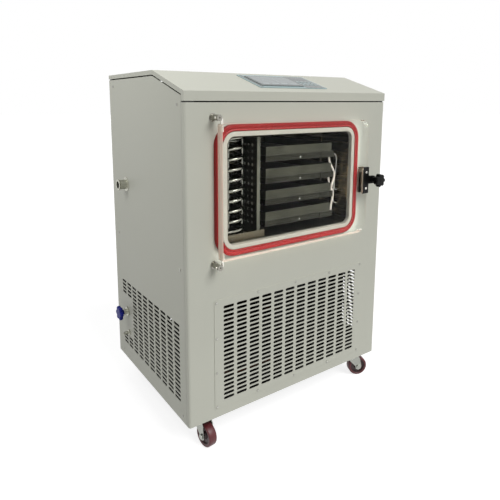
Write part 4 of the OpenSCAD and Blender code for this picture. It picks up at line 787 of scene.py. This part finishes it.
class DRYER_OT_condenser(bpy.types.Operator):
    """Winds the coil smoothly, and finishes its rods, the baffle and the drip tray"""

    bl_idname = "dryer.condenser"
    bl_label = "Condenser"

    def execute(self, context):
        # A straight run in, the turns, a half turn more that swings out in its second quarter,
        # and a sloping run up to the port
        low, high = span("condenser_coil")
        tube, swing, turns, steps = 5 * MM, 11.5 * MM, 9, settings().coil.steps
        radius = (high[1] - low[1] - 2 * tube - swing) / 2
        centre = np.array([high[0] - tube - radius, low[1] + tube + radius, low[2] + tube])
        rise = high[2] - low[2] - 2 * tube
        turned_by = np.arange(int(steps * (turns + 0.5)) + 1) / steps
        wound = np.minimum(turned_by, turns)
        reach = radius + swing * np.maximum(0, turned_by - turns - 0.25) / 0.25
        angle = 2 * math.pi * (turned_by - 0.25)
        helix = centre + np.stack(
            [np.cos(angle) * reach, np.sin(angle) * reach, rise * wound / turns], axis=-1
        )
        run = np.linspace(low[0], centre[0] - 3 * MM, 8)
        start = np.stack([run, 0 * run + centre[1] - radius, 0 * run + centre[2]], axis=-1)
        width, height, mouth_centre = mouth()
        port = mouth_centre[2] + height / 2 - MOUTH_CORNER - 2 * tube
        inner = mouth_centre[0] - width / 2 + 9 * MM
        t = np.linspace(0, 1, 12)[1:]
        end = helix[-1]
        out = np.stack(
            [centre[0] + (inner - centre[0]) * t, 0 * t + end[1], end[2] + (port - end[2]) * t], axis=-1
        )
        path = np.vstack([start, helix, out, [[low[0], end[1], port]]])
        coil = swept_tube(path, tube, settings().coil.sides)
        make_piece("coil_tube", coil, "coil", node="condenser_coil")
        refined("coil_rods", "polished")
        # The baffle's forward faces take a lighter metal as painted light
        finish_side(refined("baffle_plate", "baffle"), (0, -1, 0), "flange")
        refined("drip_tray", "drip", 0.4 * MM)
        return {"FINISHED"}


class DRYER_OT_shelves(bpy.types.Operator):
    """Rounds and finishes the shelves, the trays and the rack"""

    bl_idname = "dryer.shelves"
    bl_label = "Shelves"

    def execute(self, context):
        for i in SHELVES:
            refined(f"shelf_{i}", "shelf", 0.7 * MM)
            refined(f"tray_{i}", "steel_x", 0.5 * MM)
        profile = [(0, -1.6), (3.05, -1.6), (3.05, -0.5), (2.3, 0.1), (0, 0.3)]
        dome = revolved(profile, 24, closed=False)
        heads = []
        for i in SHELVES:
            place = (middle("tray_1")[0], span(f"shelf_{i}")[0][1], span(f"tray_{i}")[0][2] - 11.5 * MM)
            heads.append(turned(dome, TO_FRONT, place))
        make_piece("shelf_screw_heads", join_shapes(heads), "bright")
        finish_node("shelf_rack", "steel")
        return {"FINISHED"}


# Routes of the hoses and leads: across and back in millimetres, or across as a share of the
# whole run, and down as a share of the whole drop
HOSE_ROUTES = {
    "hose_upper": [
        (0, 0, 0), (0, 0, 0.04), (1.5, -0.5, 0.13), (7, -1.5, 0.23), (13.5, -3, 0.33), (19, -5, 0.43),
        (21, -6.5, 0.54), (18.5, -7.5, 0.65), (13, -8, 0.76), (8.5, -8, 0.87), (7, -8, 0.96), (7, -8, 1),
    ],
    "hose_lower": [
        (0, 0, 0), (0, 0, 0.04), (1.5, 0, 0.13), (7, 0, 0.23), (13.5, -0.5, 0.33), (19, -1, 0.43),
        (21, -2.5, 0.54), (18.5, -4.5, 0.65), (13, -6.5, 0.76), (8.5, -7.5, 0.87), (7, -8, 0.96), (7, -8, 1),
    ],
    "lead_upper": [
        (0, 0, 0), (0.09, 0, 0), (0.39, 1, 0.04), (0.61, 4, 0.15), (0.67, 7, 0.29), (0.68, 9, 0.45),
        (0.66, 11, 0.61), (0.66, 13, 0.77), (0.68, 14, 0.88), (0.73, 15, 0.95), (0.81, 15, 0.99),
        (0.9, 15, 1), (1, 15, 1),
    ],
    "lead_lower": [
        (0, 0, 0), (0.09, 0, 0), (0.32, 1, 0.06), (0.45, 3, 0.19), (0.5, 5, 0.36), (0.5, 7, 0.55),
        (0.52, 9, 0.72), (0.58, 11, 0.86), (0.69, 12.5, 0.95), (0.9, 13, 1), (1, 13, 1),
    ],
}


def hose_piece(name, start, run, drop, diameter, node, finish):
    """Smooth tube along one of the routes, in place of a solid."""
    points = np.array(HOSE_ROUTES[name], float) * [run, MM, -drop] + start
    path = smooth_route(points, 3)
    piece = make_piece(name, swept_tube(path, diameter / 2, 14, (0, 1, 0)), finish)
    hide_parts(node)


class DRYER_OT_hoses(bpy.types.Operator):
    """Lays the fluid hoses from shelf to shelf and the sensor leads to the chamber's wall"""

    bl_idname = "dryer.hoses"
    bl_label = "Hoses and leads"

    def execute(self, context):
        low, high = zip(*(span(f"shelf_{i}") for i in SHELVES))
        block, front = high[0][0], low[0][1] + 2 * MM
        width, _, centre = mouth()
        for name, i in (("hose_upper", 0), ("hose_lower", 1)):
            start = (block - 12 * MM, front + 11 * MM, low[i][2])
            drop = low[i][2] - high[i + 2][2]
            hose_piece(name, start, MM, drop, 7 * MM, "shelf_hoses", "hose")
        run, pitch = centre[0] + width / 2 - block, low[0][2] - low[1][2]
        for name, i, y, share in (("lead_upper", 0, 9, 1.92), ("lead_lower", 1, 11, 1.62)):
            start = (block, front + y * MM, low[i][2] + 11.5 * MM)
            hose_piece(name, start, run, share * pitch, 3 * MM, "sensor_leads", "lead")
        return {"FINISHED"}


class DRYER_OT_door(bpy.types.Operator):
    """Makes the clear door with polished chamfers, and finishes its hinge"""

    bl_idname = "dryer.door"
    bl_label = "Door and hinge"

    def execute(self, context):
        refined("door_plate", "clear", settings().door.edge, "door")
        refined("hinge_posts", "polished", 2.5 * MM, segments=4)
        # The hinge rods take the lighter steel as painted highlight
        refined("hinge_rods", "bright", 0.4 * MM)
        return {"FINISHED"}


def star_shape(lobes, radius, depth, low, high, rounding, hub, fullness):
    """Star grip about Z between two heights, all in millimetres. Its radius falls by the
    depth times a power of a cosine wave between lobes, and near both faces it shrinks along a
    quarter circle; the faces close towards a hub radius, the upper one with a shallow dish."""
    sides, dish = lobes * 16, np.array([1.2, 0.2])
    angle = np.linspace(0, 2 * math.pi, sides, endpoint=False)[None, :]
    outline = radius - depth * (0.5 - 0.5 * np.cos(lobes * angle)) ** fullness
    t = np.linspace(0, math.pi / 2, 6)
    shrink, rise = rounding * (1 - np.sin(t)), rounding * (1 - np.cos(t))
    core = np.array([hub * 0.4, hub])[:, None] + 0 * angle
    body = outline - np.concatenate([shrink, shrink[::-1]])[:, None]
    radii = np.vstack([core, body, core[::-1]])
    heights = np.concatenate([[low, low], low + rise, high - rise[::-1], high - dish])[:, None]
    points = (radii * np.cos(angle), radii * np.sin(angle), heights + 0 * angle)
    return capped(np.stack(points, axis=-1))


class DRYER_OT_clamp(bpy.types.Operator):
    """Finishes the clamp's plates, screws, boss and collar, and moulds the star knob"""

    bl_idname = "dryer.clamp"
    bl_label = "Door clamp"

    def execute(self, context):
        finish_side(refined("clamp_plate", "black_metal", 0.8 * MM, "door"), (-1, 0, 0), "clamp_steel")
        refined("clamp_backing", "clamp_steel", 0.4 * MM, "door")
        refined("clamp_screws", "bright", 0.8 * MM, "door", 3)
        refined("clamp_boss", "steel", 0.6 * MM)
        refined("clamp_collar", "black", 0.9 * MM, "clamp_collar")
        low, high = span("star_knob")
        # Millimetres along the screw: its end, the flange's foot on the collar, the knob's face
        tip, foot, face = -high[1] / MM, -span("clamp_collar")[0][1] / MM, -low[1] / MM
        clamp = settings().clamp
        grip = star_shape(clamp.lobes, 23.9, clamp.lobe_depth / MM, foot + 4, face, 4.5, 9, 1.6)
        stem = [
            (0, tip), (4.2, tip), (5, tip + 1), (5, foot), (12, foot), (13, foot + 1), (13, foot + 4.5),
            (0, foot + 4.5),
        ]
        cap = [(0, face - 2.6), (6.4, face - 2.6), (6.4, face - 0.9), (5.6, face - 0.15), (0, face)]
        shapes = join_shapes([grip, *(revolved(profile, 32, closed=False) for profile in (stem, cap))])
        knob = turned(shapes, TO_FRONT, middle("clamp_collar") * [1, 0, 1])
        make_piece("knob_grip", knob, "black", "star_knob", "star_knob")
        return {"FINISHED"}


class DRYER_OT_machinery(bpy.types.Operator):
    """Finishes the refrigeration set, the tank, the lines and the electric box; the fins, the copper lines
    and the electric box are darkened as painted shade
    """

    bl_idname = "dryer.machinery"
    bl_label = "Refrigeration set"

    def execute(self, context):
        refined("compressor", "black_metal", 1.5 * MM)
        finish_node("condenser_radiator", "fins")
        refined("fan_motor", "black_metal")
        refined("fan_blades", "grey_plastic", 0.5 * MM, "fan")
        refined("fluid_tank", "steel", 1 * MM)
        refined("copper_lines", "copper")
        refined("drain_pipe", "grey_plastic")
        # The electric box takes the frame's near black painted shade
        refined("electric_box", "frame", 1 * MM)
        return {"FINISHED"}


class DRYER_OT_fittings(bpy.types.Operator):
    """Finishes port, valve, nozzle, gland and screws, and moulds the handwheel"""

    bl_idname = "dryer.fittings"
    bl_label = "Side fittings and screws"

    def execute(self, context):
        for node, finish, edge in (
            ("vacuum_port", "valve", 0.8), ("drain_valve", "valve", 0.8), ("drain_nozzle", "valve", 0.5),
            ("cable_gland", "black", 0.8),
        ):
            refined(node, finish, edge * MM)
        low, high = span("valve_wheel")
        # Millimetres along the spindle: its end and the handwheel's face
        end, face = -high[0] / MM, -low[0] / MM
        radius, lobes = (high[1] - low[1]) / 2 / MM - 0.2, settings().fittings.wheel_lobes
        grip = star_shape(lobes, radius, 6.5, face - 14, face, 5, 9, 1.4)
        stem = [(0, end), (4, end), (4, face - 21), (8, face - 21), (9, face - 20), (9, face - 12)]
        stem.append((0, face - 12))
        shapes = join_shapes([grip, revolved(stem, 32, closed=False)])
        wheel = turned(shapes, TO_LEFT, middle("valve_wheel") * [0, 1, 1])
        make_piece("handwheel_grip", wheel, "blue", "valve_wheel", "valve_wheel")
        refined("panel_screws", "screw", 0.4 * MM)
        return {"FINISHED"}


class DRYER_OT_casters(bpy.types.Operator):
    """Finishes the plates and forks, and turns the wheels' treads and hubs"""

    bl_idname = "dryer.casters"
    bl_label = "Casters"

    def execute(self, context):
        refined("caster_plates", "zinc", 0.6 * MM)
        for corner in CORNERS:
            refined(f"fork_{corner}", "zinc", 0.7 * MM, f"fork_{corner}")
            self.wheel(corner)
        return {"FINISHED"}

    def wheel(self, corner):
        """Tread with round shoulders and a hub with a dished web, both turned about the axle."""
        node = f"wheel_{corner}"
        joints = frame["record"]["behaviour"]["joints"]
        roll = next(joint for joint in joints if joint["name"] == f"roll_{corner}")
        axle, centre = unit(np.array(roll["axis"], float)), np.array(roll["pos_m"], float)
        side = unit(np.cross(axle, UP))
        # Millimetres: radius, half of the width, band and shoulder of the tread, bore
        rim, half, band, shoulder, bore = centre[2] / MM - 0.02, 14.8, 9, 5, 5.08
        tread = [
            (rim - band, 2 - half), (rim - band + 2, -half),
            *arc((rim - shoulder, shoulder - half), shoulder, -90, -12),
            *arc((rim - shoulder, half - shoulder), shoulder, 12, 90),
            (rim - band + 2, half), (rim - band, half - 2),
        ]
        near = [
            (rim - band + 0.4, half - 1.5), (rim - band - 2, half - 1.5), (24, half - 6), (13, half - 6),
            (11, half - 2), (10, half - 0.5), (bore, half - 0.5),
        ]
        hub = [(radius, -height) for radius, height in reversed(near)] + near
        axes = MM * np.array([side, np.cross(axle, side), axle])
        for name, profile in (("tread", tread), ("hub", hub)):
            shape = turned(revolved(profile, 72), axes, centre)
            make_piece(f"{name}_{corner}", shape, name, node, node, sharp=50)


class DRYER_OT_stage(bpy.types.Operator):
    """Sets the floor, the even light, two soft lamps and the camera"""

    bl_idname = "dryer.stage"
    bl_label = "Stage"

    def execute(self, context):
        self.floor()
        self.light()
        self.camera()
        context.scene.view_settings.view_transform = "Standard"
        return {"FINISHED"}

    def split(self, tree, lit, seen, out):
        """One shader for what camera, glossy and transmission rays see, and one for the rest."""
        rays = new_node(tree, "LightPath").outputs
        seen_by = math_node(tree, "MAXIMUM", rays["Is Camera Ray"], rays["Is Glossy Ray"])
        seen_by = math_node(tree, "MAXIMUM", seen_by, rays["Is Transmission Ray"])
        tree.links.new(mix_node(tree, seen_by, lit, seen).outputs[0], out.inputs["Surface"])

    def floor(self):
        """Wide pale floor just under the casters' lowest point. It keeps the object's shadow
        and otherwise shows as white."""
        size, z, thickness = 40.0, CAD_BOX[0][2] - 0.2 * MM, 10 * MM
        points, faces = box_shape((-size, -size, z - thickness), (size, size, z))
        material, tree, shader = new_material("Pale floor", (0.4, 0.4, 0.4), {"Roughness": 0.9})
        glow = new_node(tree, "Emission", {"Strength": 0.8})
        plain = new_node(tree, "BsdfDiffuse", {"Color": (0.42, 0.42, 0.42, 1.0)})
        seen = new_node(tree, "AddShader", {0: glow.outputs[0], 1: plain.outputs[0]})
        self.split(tree, shader, seen, tree.nodes["Material Output"])
        mesh = bpy.data.meshes.new("floor")
        mesh.from_pydata(points.tolist(), [], faces)
        mesh.materials.append(material)
        floor = bpy.data.objects.new("floor", mesh)
        bpy.context.collection.objects.link(floor)

    def light(self):
        """Even sky, a broad key from the upper front right and a square lamp high on the left."""
        stage = settings().stage
        world = bpy.data.worlds.new("Studio")
        bpy.context.scene.world = world
        world.use_nodes = True
        tree = world.node_tree
        tree.nodes.clear()
        sky, white = (
            new_node(tree, "Background", {"Color": (1.0, 1.0, 1.0, 1.0), "Strength": strength})
            for strength in (stage.sky, 1.0)
        )
        self.split(tree, sky, white, new_node(tree, "OutputWorld"))
        key = bpy.data.lights.new("key", "SUN")
        key.energy, key.angle = stage.key * math.pi, math.radians(35)
        panel = bpy.data.lights.new("panel", "AREA")
        panel.energy, panel.size = stage.panel, 0.9
        low, high = CAD_BOX
        above_left = (low[0] - 1.0, high[1] - 0.2, high[2] + 0.7)
        for lamp, place, toward in (
            (key, (1.0, -2.5, 2.5), (0.22, -0.69, 0.71)), (panel, above_left, (-1.0, 0.1, 0.9)),
        ):
            holder = bpy.data.objects.new(lamp.name, lamp)
            holder.location = place
            holder.rotation_euler = Vector(toward).to_track_quat("Z", "Y").to_euler()
            bpy.context.collection.objects.link(holder)

    def camera(self):
        """View of the front and the left side, from about the height of the console, turned to
        the right and tilted down, with the frame moved on the lens's picture."""
        turn, tilt = math.radians(34.238), math.radians(9.13)
        corner = span("front_panel")[0]
        lens = bpy.data.cameras.new("camera")
        lens.sensor_width, lens.lens = 36.0, 34.335
        lens.shift_x, lens.shift_y = 0.0219, -0.1428
        camera = bpy.data.objects.new("camera", lens)
        camera.location = corner + [-0.6219, -1.1850, 0.9968]
        camera.rotation_euler = (math.pi / 2 - tilt, 0, -turn)
        bpy.context.collection.objects.link(camera)
        bpy.context.scene.camera = camera


OPERATORS = (
    DRYER_OT_cabinet, DRYER_OT_console, DRYER_OT_chamber, DRYER_OT_condenser, DRYER_OT_shelves,
    DRYER_OT_hoses, DRYER_OT_door, DRYER_OT_clamp, DRYER_OT_machinery, DRYER_OT_fittings,
    DRYER_OT_casters, DRYER_OT_stage,
)
GROUPS = (
    CabinetSettings, ConsoleSettings, ChamberSettings, CoilSettings, DoorSettings, ClampSettings,
    FittingsSettings, CasterSettings, StageSettings, DryerSettings,
)


class DRYER_PT_panel(bpy.types.Panel):
    """Sidebar panel with the sizes, the colours and a button for each group of pieces"""

    bl_idname = "DRYER_PT_panel"
    bl_label = "Freeze dryer"
    bl_space_type = "VIEW_3D"
    bl_region_type = "UI"
    bl_category = "Freeze dryer"

    def draw(self, context):
        dryer = context.scene.freeze_dryer
        for group in dryer.bl_rna.properties:
            if group.type != "POINTER" or group.identifier == "rna_type":
                continue
            box = self.layout.box()
            box.label(text=group.identifier.capitalize())
            values = getattr(dryer, group.identifier)
            for value in values.bl_rna.properties:
                if value.identifier not in {"rna_type", "name"}:
                    box.prop(values, value.identifier)
        for operator in OPERATORS:
            self.layout.operator(operator.bl_idname)


def register():
    for item in (*GROUPS, *OPERATORS, DRYER_PT_panel):
        bpy.utils.register_class(item)
    bpy.types.Scene.freeze_dryer = PointerProperty(type=DryerSettings)


def unregister():
    del bpy.types.Scene.freeze_dryer
    for item in reversed((*GROUPS, *OPERATORS, DRYER_PT_panel)):
        bpy.utils.unregister_class(item)


def main():
    """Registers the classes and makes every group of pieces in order."""
    register()
    for operator in OPERATORS:
        family, name = operator.bl_idname.split(".")
        result = getattr(getattr(bpy.ops, family), name)()
        if result != {"FINISHED"}:
            raise RuntimeError(f"{operator.bl_label} did not finish")
    bpy.context.view_layer.update()


if __name__ == "__main__":
    main()
